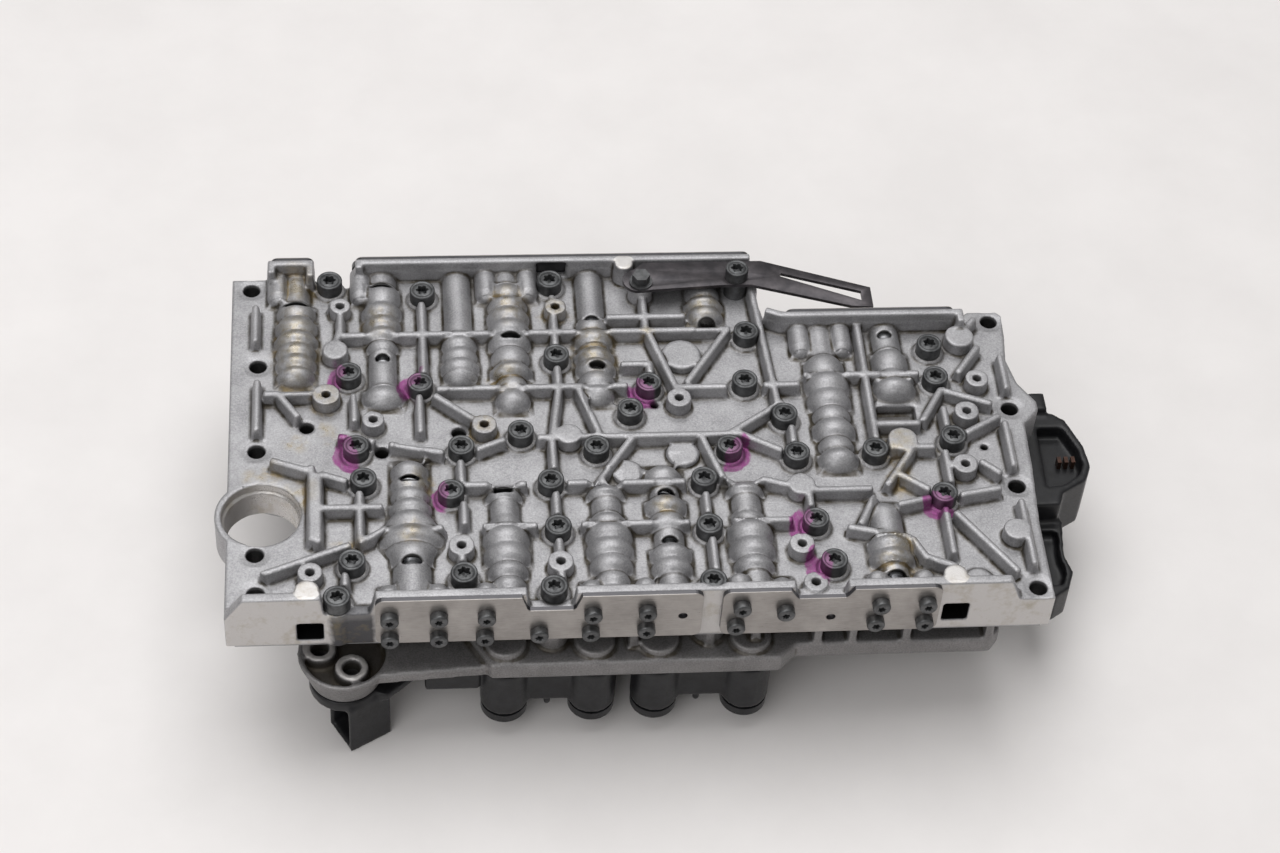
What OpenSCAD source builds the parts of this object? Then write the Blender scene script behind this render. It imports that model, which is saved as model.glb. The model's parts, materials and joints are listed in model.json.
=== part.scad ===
// Electro-hydraulic valve body of an automatic gearbox.
// X runs along the front face, Y runs to the rear, Z points up.
// Places are laid out from the upper housing's front left corner at its mating face.

/* [Upper housing] */
// Thickness from the mating face to the floor between the ribs
floor_t = 16; // [14:0.5:20]
// Height of the outer walls above the floor
rim_h = 10; // [8:0.5:12]
// Thickness of the outer walls
rim_t = 3; // [2.5:0.25:4]
// Height of the stiffening ribs above the floor
rib_h = 5.5; // [4:0.5:9]
// Width of the ribs at the top
rib_w = 2.2; // [1.4:0.1:2.6]
// Sideways growth of a rib from its top to its foot
draft = 0.5; // [0.1:0.05:0.6]
// Size of the flare where a rib meets the floor
flare = 0.8; // [0.4:0.1:1.2]
// Height of the plain bosses and discs above the floor
boss_h = 6; // [3:0.5:8]
// Diameter of the pin holes in the bosses
boss_hole_d = 3.4; // [2:0.2:4]
// Depth of the pin holes in the bosses
boss_hole_depth = 9; // [4:1:12]

/* [Flange] */
// Diameter of the mounting holes in the flange
flange_hole_d = 6.6; // [5.4:0.2:7.6]
// Diameter of the spot faces round the mounting holes
flange_face_d = 11; // [9:0.5:12]
// Diameter of the pickup bore at the left
pickup_d = 27; // [24:0.5:28]
// Wall round the pickup bore
pickup_wall = 3.5; // [3:0.25:5]
// Depth of the seal seat in the mouth of the pickup bore
pickup_seat = 4; // [2:0.5:7]

/* [Valves] */
// Height of the valve axes above the mating face
valve_z = 15; // [13:0.5:16]
// Diameter of the narrow valve spools
spool_d = 7; // [6:0.25:7.5]
// Diameter of the wide valve spools
wide_spool_d = 10; // [8:0.25:10.5]
// Radial clearance of the spools in their bores
spool_gap = 0.3; // [0.25:0.05:0.4]
// Way that each spool can slide
spool_travel = 5; // [3:0.5:7]
// Length of each return spring when it is pressed solid
spring_solid = 10; // [8:0.5:12]
// Wire diameter of the return springs
spring_wire = 0.9; // [0.6:0.1:1.2]
// Wall left at the blind end of each bore
bore_end = 3; // [2:0.25:4]

/* [Covers] */
// Thickness of the valve covers
cover_t = 2; // [1.5:0.25:3]
// Gap between a cover's lower edge and the mating face
cover_lift = 2.5; // [1.5:0.25:4]
// Corner radius of the covers
cover_corner = 3; // [1.5:0.25:4]

/* [Fasteners] */
// Head diameter of the housing screws
screw_head_d = 9.8; // [8.5:0.1:10.5]
// Head height of the housing screws
screw_head_h = 5.5; // [4:0.25:6.5]
// Shank diameter of the housing screws
screw_d = 5.8; // [5:0.1:6]
// Width across the lobes of the screws' sockets
socket_d = 4.8; // [3.5:0.1:5.5]
// Height of the seats under the housing screws
seat_h = 1; // [0.5:0.25:2]
// Head diameter of the cover bolts
bolt_head_d = 6.6; // [5.5:0.1:7]
// Head height of the cover bolts
bolt_head_h = 3.25; // [3:0.25:5]
// Shank diameter of the cover bolts
bolt_d = 3.8; // [3:0.1:4]
// Length of the cover bolts in the housing
bolt_depth = 9; // [6:0.5:11]
// Radial clearance round a shank
shank_gap = 0.15; // [0.1:0.05:0.3]

/* [Detent leaf] */
// Thickness of the leaf
leaf_t = 1.5; // [1:0.25:2]
// Gap between the leaf and what lies below it
leaf_gap = 0.5; // [0.3:0.1:1.5]
// Outer diameter of the standoff
standoff_d = 9; // [8:0.25:11]
// Diameter of the two fasteners that hold the leaf
leaf_screw_d = 5; // [4:0.25:5.5]

/* [Lower housing] */
// Thickness of the separator plate
plate_t = 1.2; // [0.8:0.1:2]
// Height of the lower housing's upper chamber
chamber_h = 8; // [7:0.5:11]
// Thickness of the lower housing's tray
tray_t = 8; // [6:0.5:10]
// Diameter of the round lug at the left
lug_d = 35; // [32:0.5:38]
// Height of the lug's tapering skirt
skirt_h = 14; // [10:0.5:16]
// Diameter of the check balls
ball_d = 6; // [4:0.25:6.5]

/* [Control module] */
// Diameter of the solenoid valves' noses
nose_d = 10; // [8:0.25:10.5]
// Outer diameter of the sleeves round the solenoid valves
sleeve_d = 18; // [15:0.2:19]
// Wall of the sleeves
sleeve_wall = 1.2; // [1:0.1:1.6]
// Length of the sleeves below the lower housing
sleeve_h = 23; // [18:0.5:25]
// Length of a solenoid valve's end below its sleeve
cap_h = 8; // [6:0.5:10]
// Thickness of the moulded carrier plate
carrier_t = 13; // [10:0.5:16]
// Height of the electronics case below the carrier
case_h = 24; // [20:0.5:30]
// Wall of the plug socket
socket_wall = 2; // [1.5:0.25:2.5]
// Height of the sensor tower
tower_h = 26; // [20:0.5:30]
// Reach of the sensor tower beside the housings
tower_w = 30; // [27:0.5:33]
// Height of the round plug base below the lug
plug_base_h = 5; // [3:0.5:7]

/* [Hidden] */
$fn = 64;

// Levels above the mating face
rim_z = floor_t + rim_h;
seat_z = floor_t + seat_h;
seat_d = screw_head_d + 1.6;
leaf_valve_r = 8;
leaf_z = max(floor_t + rib_h, valve_z + leaf_valve_r) + leaf_gap;
standoff_h = leaf_z - floor_t;
spring_room = spool_travel + spring_solid;
chamber_z = -plate_t;
tray_z = chamber_z - chamber_h;
under_z = tray_z - tray_t;
module_gap = 0.4;
carrier_z = under_z - module_gap;
carrier_under = carrier_z - carrier_t;
base_h = case_h - carrier_under;

// Edges of the housings
front_wall = 4;
rear_y = 169;
rear_right_y = 137;
left_x = -1;
pickup_at = [11.5, 48];
pickup_r = pickup_d / 2 + pickup_wall;
lug_at = [41, 6];
tower_left = 300;
tower_right = tower_left + tower_w;
mid_x = (pickup_at[0] - pickup_r + tower_right) / 2;
mid_y = (lug_at[1] - lug_d / 2 + rear_y + cover_t + bolt_head_h) / 2;
over = 1;
sink = 1.6;
nick = 0.1;
deep = 200;

front_screw = [39, 4.5];
front_pillars = [[116.5, 7], [174, 8]];
screws = concat(front_pillars, [
    [37, 161], [73, 155], [123, 160], [44, 112.5], [71, 106.5], [123.5, 120], [158, 104.5], [150, 91.5],
    [195, 105], [198, 130.5], [269, 122], [269, 105], [46.5, 75.5], [49, 59.5], [85.5, 74.5], [81, 53],
    [108, 81.5], [118, 57], [119.5, 35], [136, 73], [175, 56.5], [175, 34],
    [186, 72], [208.5, 87.5], [211, 68], [241, 69], [214.5, 35.5], [219, 16], [264, 46.5], [271.5, 74.5],
    [84.5, 14], [44.5, 21]]);
all_screws = concat(screws, [front_screw]);

flange_holes = [
    [6.5, 162.5], [9.5, 122], [9.5, 79], [9.5, 29.5], [10, 11.5],
    [296, 139], [297, 93], [293.5, 54], [293.5, 5.5]];
plain_holes = [[28, 90], [85, 86], [56, 77]];
plain_hole_d = 5.6;
pin_holes = [[284, 73.5], [160, 98]];
pin_hole_d = 3;

// Bosses with a pin hole: place and top diameter
bosses = [
    [41, 147.5, 8], [35.5, 101.5, 10.5], [53, 88.5, 8.5], [94.5, 85, 9.5], [84, 27, 9.5], [29.5, 16, 9],
    [124.5, 145.5, 8.5], [169, 96.5, 9.5], [119.5, 18.5, 9.5], [208, 24, 9.5], [211, 6, 9], [285, 103.5, 9],
    [278.5, 87, 9.5], [274, 60.5, 9.5]];

// Plain round discs: place, diameter and height
discs = [
    [126, 79.5, 9.4, 6], [147, 63, 11, 2.5], [168.5, 72, 12, 2], [288.5, 28.5, 9.6, 6], [252, 73.5, 11, 6],
    [211, 52.5, 10, 6], [39, 124.5, 9.5, 6], [272, 9, 10, 1], [281.5, 126, 11, 6], [172, 121, 15, 3.5]];

// Ribs that run along X: first x, last x, y
cross_ribs = [
    [42, 192, 132.5], [77, 150, 104], [114, 190, 78.5], [84, 109, 56], [124, 139, 56], [144, 168, 55.5],
    [183, 198, 55.5], [57, 77, 36], [92, 112, 36], [128, 168, 36], [184, 206, 36], [212, 238, 50],
    [144, 175, 140], [169, 188, 102.5], [202, 216, 103], [218, 263, 107.5], [244, 260, 82], [33, 56, 46.5],
    [12, 30, 103], [148, 158, 115], [246, 264, 70]];

// Ribs that run along Y: x, first y, last y
long_ribs = [
    [72.5, 112, 152], [70.5, 82, 102], [123.5, 124, 152], [123.5, 106, 115], [159, 132, 152], [119.5, 63, 79],
    [242, 74, 135], [9.5, 84, 110], [8.5, 130, 149], [30, 31, 67], [32.5, 30, 63], [47.5, 31, 54],
    [85, 58, 68], [85.5, 37, 48], [119.5, 41, 52], [119.5, 10, 30], [175, 40, 50], [175.5, 13, 29],
    [210.5, 73, 82], [213.5, 42, 50], [263.5, 18, 40], [292.5, 58, 82], [292.5, 12, 43], [296, 98, 116],
    [46, 88, 102], [267.5, 52, 68], [270, 80, 90], [159, 104, 116], [41, 136, 143], [84, 20, 23],
    [42, 10, 16]];

// Slanting ribs: from and to
slant_ribs = [
    [[12, 16], [44, 29]], [[15, 70], [29, 64.5]], [[33, 63], [43, 59]], [[40, 81], [79, 72]],
    [[76, 101], [91, 88]], [[131, 103], [137.5, 80]], [[123.5, 103], [120, 79]], [[150, 78], [136, 57]],
    [[176, 77], [182, 57]], [[190, 79], [206, 69.5]], [[208.5, 94], [187, 79]], [[160, 131], [169, 100]],
    [[190.4, 131.7], [172.6, 104.6]],
    [[18, 102], [25, 91]], [[91, 73], [102, 78]], [[247, 58], [260, 48]], [[267, 38], [286, 9]],
    [[280, 62.5], [287, 56]], [[276, 76], [291, 85]], [[272, 98], [289, 91]], [[270, 46], [286, 49]],
    [[271, 100], [261, 83]], [[288, 121], [278, 107]], [[246, 42], [259, 45]], [[226, 32], [249, 26]],
    [[249, 26], [253, 17]], [[253, 17], [264, 12]], [[255, 69], [243, 51]], [[238, 47], [231, 33]],
    [[198, 55.5], [212, 50.5]], [[47, 30], [58, 36]], [[41, 136], [38, 124]], [[37, 150], [41, 147]],
    [[202.3, 154], [206.5, 93]], [[282, 128], [289, 136]]];

// Lying valve bores, each with x, mouth at the rear (1) or front (0), wide spool (1) or narrow (0),
// mouth plane, and outer steps as [y, radius] that hold up to the next y
valves = [
    [24, 1, 0, rear_y, [[109, 7.6], [117, 8], [129, 8.6], [135, 8.2], [143, 7.6], [151, 5.4], [167, 0]]],
    [57, 1, 0, rear_y,
        [[97, 7], [107, 5.4], [126, 6.2], [131, 7.6], [143, 8], [150, 7.5], [160, 6], [167, 0]]],
    [86.5, 1, 0, rear_y, [[108, 7], [114, 7.6], [120, 7], [132, 5.5], [167, 0]]],
    [106, 1, 0, rear_y,
        [[94, 7], [104, 6.4], [111, 8.4], [117, 7.5], [126, 8.5], [146, 8], [152, 7], [160, 5.4], [167, 0]]],
    [138.5, 1, 0, rear_y,
        [[97, 7], [105, 7.2], [112, 8], [124, 7], [127, 7.8], [134, 6.2], [141, 5.4], [167, 0]]],
    [183, 1, 1, rear_y, [[136, 7], [140, 7.5], [145, leaf_valve_r], [150, 7], [167, 0]]],
    [227, 1, 0, rear_right_y,
        [[61, 8], [70, 7], [77, 8.4], [85, 7.5], [92, 8.6], [100, 8.9], [108, 8], [118, 5.6], [135, 0]]],
    [253, 1, 0, rear_right_y, [[96, 8.6], [105, 6.6], [111, 7.2], [121, 5.6], [135, 0]]],
    [66, 0, 1, 0, [[2, 7], [21, 8], [30, 9], [37, 8.6], [44, 8], [50, 7.2], [62, 7.2], [71, 0]]],
    [100.5, 0, 0, 0, [[2, 6.4], [14, 7.5], [20, 8.6], [36, 6], [41, 5.4], [50, 7], [57, 0]]],
    [138, 0, 0, 0, [[2, 6.6], [15, 8], [22, 8.8], [36, 7], [42, 5.6], [50, 7.4], [57, 0]]],
    [160, 0, 0, 0,
        [[2, 5.4], [13, 7.6], [20, 8], [26, 5.6], [34, 7], [42, 8], [49, 5.6], [57, 7.2], [66, 0]]],
    [190, 0, 0, 0, [[2, 5.6], [14, 7.6], [20, 8.6], [36, 6.4], [42, 5.6], [50, 7.4], [57, 0]]],
    [241, 0, 0, 0, [[2, 5.6], [15, 8.6], [27, 6.2], [46, 0]]]];

// Windows through the tops of the bores: x, y, width, length
windows = [
    [24, 149.5, 9, 1.6], [57, 159, 8, 1.6], [57, 121.5, 5, 3], [106.5, 130, 7, 2.6], [138.5, 140.5, 5, 1.6],
    [139, 114, 6, 2.4], [183.5, 137.5, 6, 2], [252.5, 129, 5, 2.6], [66, 60, 7, 2.4], [66, 21, 7, 2.4],
    [100, 53.5, 7, 2.6], [160.5, 51, 6, 2.4], [160, 28.5, 5.5, 2.2], [242, 10, 7, 2.6]];

// Cover bolts: x and height above the mating face
bolts_left = [
    [57.5, 17.4], [75, 17.4], [92, 17.4], [130, 17.4], [149.5, 18], [57.5, 6], [75, 6], [91.5, 6], [111, 7],
    [129.5, 7], [149.5, 8]];
bolts_right = [[183.5, 19], [199.5, 16], [234, 18.5], [251, 18.5], [182, 8.5], [233, 8.5], [251, 8]];
bolts_rear = [[17, 17.4], [29.5, 6]];
bolts_rear_middle = [[49, 17.4], [98, 17.4], [114, 17.4], [71, 6], [132, 6], [150, 6], [170, 6], [188, 6]];
bolts_rear_right = [[219, 17.4], [235, 17.4], [219, 6], [265, 6], [277, 6]];

// Covers: first x, last x and height of the top edge
cover_left = [52.5, 169.5];
cover_right = [176.5, 256];
cover_rear = [14, 31];
cover_rear_middle = [47, 203];
cover_rear_right = [214, 281];
notch_left = [106.5, 124];
notch_right = [203, 222];
notch_left_z = floor_t + 3;
notch_right_z = floor_t + 6;

step_wall_x = 203;
standoff_at = [step_wall_x - rim_t / 2 - standoff_d / 2 - leaf_gap, 157];
hex_at = [158.5, 154.5];
dowels = [[60, 92], [232, 44]];
dowel_d = 5;
dowel_half = 7;
balls = [[62, 46], [100, 100], [142, 108], [174, 88], [236, 100], [60, 128], [252, 34]];
ball_gap = 0.6;
solenoid_xs = [99.5, 132, 155.5, 189.5];
solenoid_ys = [4.5, 145];
module_screws_at = [[75, 60], [205, 54], [75, 140], [172, 150], [262, 90]];
tower_z = -4;
plug_at = [46, 2];
plug_turn = 30;
plug_size = [17, 16];
plug_back = 6;
tower_recess = 6;
contact_y = 83.5;
contact_shares = [0.6, 0.69, 0.78];

// Moves the layout so that the part stands on Z = 0 with its box centred
module placed() {
    translate([-mid_x, -mid_y, base_h]) children();
}

// Stands shapes upright at each place of a list
module at_each(places, z) {
    for (p = places) translate([p[0], p[1], z]) children();
}

// Lays the children's Z axis along Y
module lying(x, z) {
    translate([x, 0, z]) rotate([-90, 0, 0]) children();
}

// Section of a rib above the floor, with its sides flared at the foot
module rib_section(h, w) {
    foot = w / 2 + draft;
    polygon([
        [-foot - flare, -sink], [foot + flare, -sink], [foot + flare, -nick], [foot, flare],
        [w / 2, h], [-w / 2, h], [-foot, flare], [-foot - flare, -nick]]);
}

module rib(from, to, h = rib_h, w = rib_w) {
    run = to - from;
    translate([from[0], from[1], floor_t])
        rotate([90, 0, 90 + atan2(run[1], run[0])])
            linear_extrude(norm(run)) rib_section(h, w);
}

// Round boss on the floor
module post(d, h) {
    translate([0, 0, -sink]) cylinder(d = d, h = h + sink);
}

// Outside of a lying valve bore, stepped along Y
module valve_shell(v) {
    steps = v[4];
    last = len(steps) - 2;
    outline = [
        for (i = [0:last])
            for (y = [steps[i][0], steps[i + 1][0]])
                [steps[i][1], y]];
    lying(v[0], valve_z)
        rotate_extrude() polygon(concat([[0, steps[0][0]]], outline, [[0, steps[last + 1][0]]]));
}

function spool_r(v) = (v[2] == 1 ? wide_spool_d : spool_d) / 2;
// Blind end of a bore, and the way from its mouth to that end
function blind_y(v) = v[1] == 1 ? v[4][0][0] + bore_end : v[4][len(v[4]) - 1][0] - bore_end;
function inward(v) = v[1] == 1 ? -1 : 1;
function bore_length(v) = abs(blind_y(v) - v[3]);
end_play = 0.3;
function spool_length(v) = bore_length(v) - spring_room - end_play;

// Stands at a valve's mouth with Z pointing into its bore
module at_mouth(v) {
    translate([v[0], v[3], valve_z]) rotate([-90 * inward(v), 0, 0]) children();
}

module outline_upper() {
    polygon([
        [left_x, 0], [299, 0], [299, 35], [301, 65], [301.5, 85], [308, 92], [308, 96], [302, 106],
        [299.5, 118], [301, 131], [301.5, 142], [299.5, 144], [288, 144], [285.5, 142], [284, rear_right_y],
        [213, rear_right_y], [207, 140], [204.5, 154], [205, rear_y], [47, rear_y], [46, 163], [31.5, 163],
        [31, rear_y], [13, rear_y], [12, 168], [left_x, 168]]);
}

// Front wall seen from the front, stepped down at the covers' notches and at both ends
module front_profile() {
    polygon([
        [left_x, 0], [299, 0], [299, floor_t], [286, floor_t], [282, rim_z], [notch_right[1], rim_z],
        [notch_right[1] - 1, notch_right_z - over], [notch_right[0] + 1, notch_right_z - over],
        [notch_right[0], rim_z], [notch_left[1], rim_z], [notch_left[1] - 1, notch_left_z - over],
        [notch_left[0] + 1, notch_left_z - over], [notch_left[0], rim_z], [cover_left[0], rim_z],
        [cover_left[0] - 2, seat_z], [34.5, seat_z], [33.5, rim_z], [5.5, rim_z], [left_x, floor_t]]);
}

// Upright wall along its middle line
module wall(from, to, h) {
    run = to - from;
    translate([from[0], from[1], floor_t - sink])
        rotate([0, 0, atan2(run[1], run[0])])
            translate([0, -rim_t / 2, 0]) cube([norm(run), rim_t, h + sink]);
}

// Walls round the edge, lower below the leaf
module rim() {
    half = rim_t / 2;
    back = rear_y - half;
    back_right = rear_right_y - half;
    for (w = [
        [[13 + half, 162], [13 + half, rear_y]], [[13, back], [31, back]],
        [[31 - half, 160], [31 - half, rear_y]], [[47, back], [step_wall_x, back]],
        [[47 + half, 164], [47 + half, rear_y]],
        [[213, back_right], [284, back_right]], [[284 - half, 130], [284 - half, rear_right_y]],
        [[206, 139.8 - half], [213, rear_right_y - half - 0.2]]])
        wall(w[0], w[1], rim_h);
    wall([step_wall_x, 152], [step_wall_x, rear_y], rib_h);
}

// Lying rods of one length from a plane, one for each bolt of a list above a height
module rods(bolts, y, r, length, above = 0) {
    for (b = bolts)
        if (b[1] > above) translate([0, y, 0]) lying(b[0], b[1]) cylinder(r = r, h = length);
}

// Lying posts that take the upper row of cover bolts
module bolt_posts() {
    post_r = bolt_head_d / 2 + 0.7;
    front_len = 12;
    rear_len = 17;
    rods(concat(bolts_left, bolts_right), 0, post_r, front_len, valve_z);
    rods(concat(bolts_rear, bolts_rear_middle), rear_y - rear_len, post_r, rear_len, valve_z);
    rods(bolts_rear_right, rear_right_y - rear_len, post_r, rear_len, valve_z);
}

// Threaded holes for the cover bolts, a little longer than the bolts
module bolt_holes() {
    hole_r = bolt_d / 2 + shank_gap;
    length = bolt_depth + 1.5 * over;
    rods(concat(bolts_left, bolts_right), -over, hole_r, length);
    rods(concat(bolts_rear, bolts_rear_middle), rear_y + over - length, hole_r, length);
    rods(bolts_rear_right, rear_right_y + over - length, hole_r, length);
}

module upper_valve_housing() {
    pad_d = 9;
    rear_pad_d = 7.5;
    pad_edge = 0.5;
    pocket = [9.5, 8, 9.5];
    spot_depth = 0.4;
    seat_play = 0.4;
    color("#b9b7b6") placed() difference() {
        union() {
            linear_extrude(floor_t) outline_upper();
            translate([pickup_at[0], pickup_at[1], 0]) cylinder(r = pickup_r, h = floor_t);
            translate([0, front_wall, 0]) rotate([90, 0, 0]) linear_extrude(front_wall) front_profile();
            rim();
            for (r = cross_ribs) rib([r[0], r[2]], [r[1], r[2]]);
            for (r = long_ribs) rib([r[0], r[1]], [r[0], r[2]]);
            for (r = slant_ribs) rib(r[0], r[1]);
            for (v = valves) valve_shell(v);
            bolt_posts();
            at_each(all_screws, floor_t) post(seat_d, seat_h);
            translate([front_screw[0], front_screw[1], 0]) cylinder(d = seat_d, h = seat_z);
            for (b = bosses) translate([b[0], b[1], floor_t]) post(b[2], boss_h);
            for (d = discs) translate([d[0], d[1], floor_t]) post(d[2], min(d[3], boss_h));
            translate([hex_at[0], hex_at[1], floor_t]) post(standoff_d, standoff_h);
            // Machined pads on the walls
            for (x = [28.5, 261.5])
                translate([x, pad_edge + pad_d / 2, floor_t - over]) cylinder(d = pad_d, h = rim_h + over);
            translate([152.5, rear_y - pad_edge - rear_pad_d / 2, floor_t - over])
                cylinder(d = rear_pad_d, h = rim_h + over);
        }
        // Valve bores, their windows and the bolt holes at both ends
        for (v = valves)
            at_mouth(v) translate([0, 0, -over])
                cylinder(r = spool_r(v) + spool_gap, h = bore_length(v) + over);
        for (w = windows)
            translate([w[0] - w[2] / 2, w[1] - w[3] / 2, valve_z + over]) cube([w[2], w[3], deep]);
        bolt_holes();
        // Holes through the floor
        at_each(all_screws, -over) cylinder(d = screw_d + 2 * shank_gap, h = seat_z + 2 * over);
        at_each(all_screws, seat_z) cylinder(d = seat_d - seat_play, h = deep);
        at_each(flange_holes, -over) cylinder(d = flange_hole_d, h = deep);
        at_each(flange_holes, floor_t - spot_depth) cylinder(d = flange_face_d, h = deep);
        at_each(plain_holes, -over) cylinder(d = plain_hole_d, h = deep);
        at_each(pin_holes, floor_t - boss_hole_depth) cylinder(d = pin_hole_d, h = deep);
        at_each(bosses, floor_t + boss_h - boss_hole_depth) cylinder(d = boss_hole_d, h = deep);
        at_each(dowels, -over) cylinder(d = dowel_d + 2 * shank_gap, h = dowel_half + 1.5 * over);
        translate([pickup_at[0], pickup_at[1], -over]) cylinder(d = pickup_d, h = deep);
        translate([pickup_at[0], pickup_at[1], floor_t - pickup_seat]) cylinder(d = pickup_d + 2, h = deep);
        translate([standoff_at[0], standoff_at[1], floor_t - bolt_depth])
            cylinder(d = leaf_screw_d + 2 * shank_gap, h = deep);
        translate([hex_at[0], hex_at[1], floor_t - bolt_depth])
            cylinder(d = leaf_screw_d + 2 * shank_gap, h = deep);
        // Clamping pockets in the front face, the opening in the rear wall and the recess behind a valve
        translate([24.5, -over, 2.5]) cube(pocket + [0, over, 0]);
        translate([258, -over, 4.5]) cube(pocket + [0, over, 0]);
        translate([118, rear_y - rim_t - over, floor_t + 1]) cube([12, deep, rim_h - 2.5]);
        translate([245, 84, floor_t - 5]) cube([15, 11, deep]);
    }
}

module separator_plate() {
    color("#8d9094") placed() translate([0, 0, -plate_t]) difference() {
        linear_extrude(plate_t)
            polygon([
                [2, 1], [296, 1], [298, 60], [299, 134], [210, 134.5], [203, 139], [201.5, 166], [2, 166],
                [2, 66], [27, 58], [27, 38], [2, 30]]);
        at_each(screws, -over) cylinder(d = screw_d + 2 * shank_gap, h = deep);
        at_each(flange_holes, -over) cylinder(d = flange_hole_d + 1, h = deep);
        at_each(dowels, -over) cylinder(d = dowel_d + 2 * shank_gap, h = deep);
    }
}

// Outline of the lower housing, with its front edge at a given place
module outline_lower(front, left) {
    polygon([
        [left, front], [200, front], [206, front + 6], [279, front + 6], [283, front + 11], [286, 40],
        [286, 130], [206, 132], [202, 140], [201, 163], [31, 163], [26, 156], [26, 22], [32, 16], [left - 12, 16]]);
}

web_xs = [117, 146, 174, 191, 214, 227, 247, 278];
chamber_front = 8;
tray_front = -5;
web_front = 1.5;
lug_z = tray_z - 3;
lug_under = lug_z - skirt_h - module_gap;
nose_h = tray_t - 2.5;

module lower_valve_housing() {
    web_w = 3.4;
    lug_wall = 2.5;
    lug_taper = 9;
    dish = 5;
    lug_bosses = [[43.5, -1], [32, 8]];
    lug_boss_d = 12.5;
    solenoid_boss_d = nose_d + 5;
    solenoid_boss_h = 3;
    thread_z = tray_z - tray_t / 2;
    color("#a3a2a1") placed() difference() {
        union() {
            translate([0, 0, tray_z - tray_t]) linear_extrude(tray_t) outline_lower(tray_front, 94);
            translate([0, 0, tray_z - over])
                linear_extrude(chamber_h + over) outline_lower(chamber_front, 60);
            for (x = web_xs)
                translate([x - web_w / 2, web_front, tray_z - over]) cube([web_w, 10, chamber_h + over]);
            at_each(front_pillars, tray_z - over) cylinder(d = seat_d, h = chamber_h + over);
            // Round lug on an arm of the tray, with a dished top and two bosses
            difference() {
                union() {
                    translate([lug_at[0], lug_at[1], lug_z - skirt_h])
                        cylinder(d1 = lug_d - lug_taper, d2 = lug_d, h = skirt_h);
                    translate([0, 0, under_z]) linear_extrude(lug_z - under_z)
                        polygon([[52, -6], [96, -3], [96, 18], [34, 22], [30, 16]]);
                }
                translate([lug_at[0], lug_at[1], lug_z - dish]) cylinder(d = lug_d - 2 * lug_wall, h = deep);
            }
            at_each(lug_bosses, lug_z - dish - over) cylinder(d = lug_boss_d, h = dish + over);
            for (x = solenoid_xs)
                translate([x, solenoid_ys[0], tray_z - over])
                    cylinder(d = solenoid_boss_d, h = solenoid_boss_h + over);
        }
        for (x = solenoid_xs)
            for (y = solenoid_ys)
                translate([x, y, under_z - over]) cylinder(d = nose_d + 4 * shank_gap, h = nose_h + 1 + over);
        at_each(screws, thread_z) cylinder(d = screw_d + 2 * shank_gap, h = deep);
        at_each(dowels, -dowel_half - over / 2) cylinder(d = dowel_d + 2 * shank_gap, h = deep);
        at_each(balls, chamber_z - ball_d - ball_gap) cylinder(d = ball_d + 2 * ball_gap, h = deep);
        at_each(module_screws_at, under_z - over) cylinder(d = bolt_d + 2 * shank_gap, h = bolt_depth + over);
        at_each(lug_bosses, under_z - deep / 2) cylinder(d = flange_hole_d, h = deep);
    }
}

function arc(c, r, from) = [for (a = [from:15:from + 90]) c + r * [cos(a), sin(a)]];

// Cover plate seen from the front, with rounded corners and an optional notch in its top edge
module cover_outline(span, z0, z1, notch, notch_z) {
    r = cover_corner;
    slope = 2;
    dip = notch == undef ? [] : [
        [notch[1] + slope, z1], [notch[1], notch_z + 1], [notch[1] - 1, notch_z],
        [notch[0] + 1, notch_z], [notch[0], notch_z + 1], [notch[0] - slope, z1]];
    polygon(concat(
        arc([span[0] + r, z0 + r], r, 180), arc([span[1] - r, z0 + r], r, 270),
        arc([span[1] - r, z1 - r], r, 0), dip, arc([span[0] + r, z1 - r], r, 90)));
}

// Plate that stands on the front side of the plane at y, drilled for its bolts
module cover(y, span, top, bolts, notch, notch_z, hole) {
    translate([0, y, 0]) difference() {
        rotate([90, 0, 0]) linear_extrude(cover_t) cover_outline(span, cover_lift, top, notch, notch_z);
        for (b = bolts)
            translate([0, -cover_t - over, 0]) lying(b[0], b[1])
                cylinder(d = bolt_d + 2 * shank_gap, h = cover_t + 2 * over);
        if (hole != undef)
            translate([0, -cover_t - over, 0]) lying(hole[0], hole[1])
                cylinder(d = boss_hole_d, h = cover_t + 2 * over);
    }
}

front_top = rim_z + 0.5;

module front_cover_left() {
    color("#a7a19b") placed()
        cover(0, cover_left, front_top, bolts_left, notch_left, notch_left_z, [162.5, 14]);
}

module front_cover_right() {
    color("#a7a19b") placed()
        cover(0, cover_right, front_top, bolts_right, notch_right, notch_right_z, [216.5, 11]);
}

rear_top = rim_z - 1;

module rear_cover_left() {
    color("#a7a19b") placed() cover(rear_y + cover_t, cover_rear, rear_top, bolts_rear);
}

module rear_cover_middle() {
    color("#a7a19b") placed() cover(rear_y + cover_t, cover_rear_middle, rear_top, bolts_rear_middle);
}

module rear_cover_right() {
    color("#a7a19b") placed() cover(rear_right_y + cover_t, cover_rear_right, rear_top, bolts_rear_right);
}

// Six-lobed socket in a screw's head
module lobed_socket(d, depth) {
    wave = 0.13;
    linear_extrude(depth) polygon([
        for (a = [0:15:345]) d / 2 * (1 - wave + wave * cos(6 * a)) * [cos(a), sin(a)]]);
}

// Cap screw with its seat at Z = 0 and its shank pointing down
module cap_screw(head_d, head_h, d, length, lobes) {
    edge = 0.5;
    difference() {
        rotate_extrude() polygon([
            [0, -length], [d / 2, -length], [d / 2, 0], [head_d / 2, 0], [head_d / 2, head_h - edge],
            [head_d / 2 - edge, head_h], [0, head_h]]);
        translate([0, 0, head_h * 0.45]) lobed_socket(lobes, head_h);
    }
}

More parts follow.
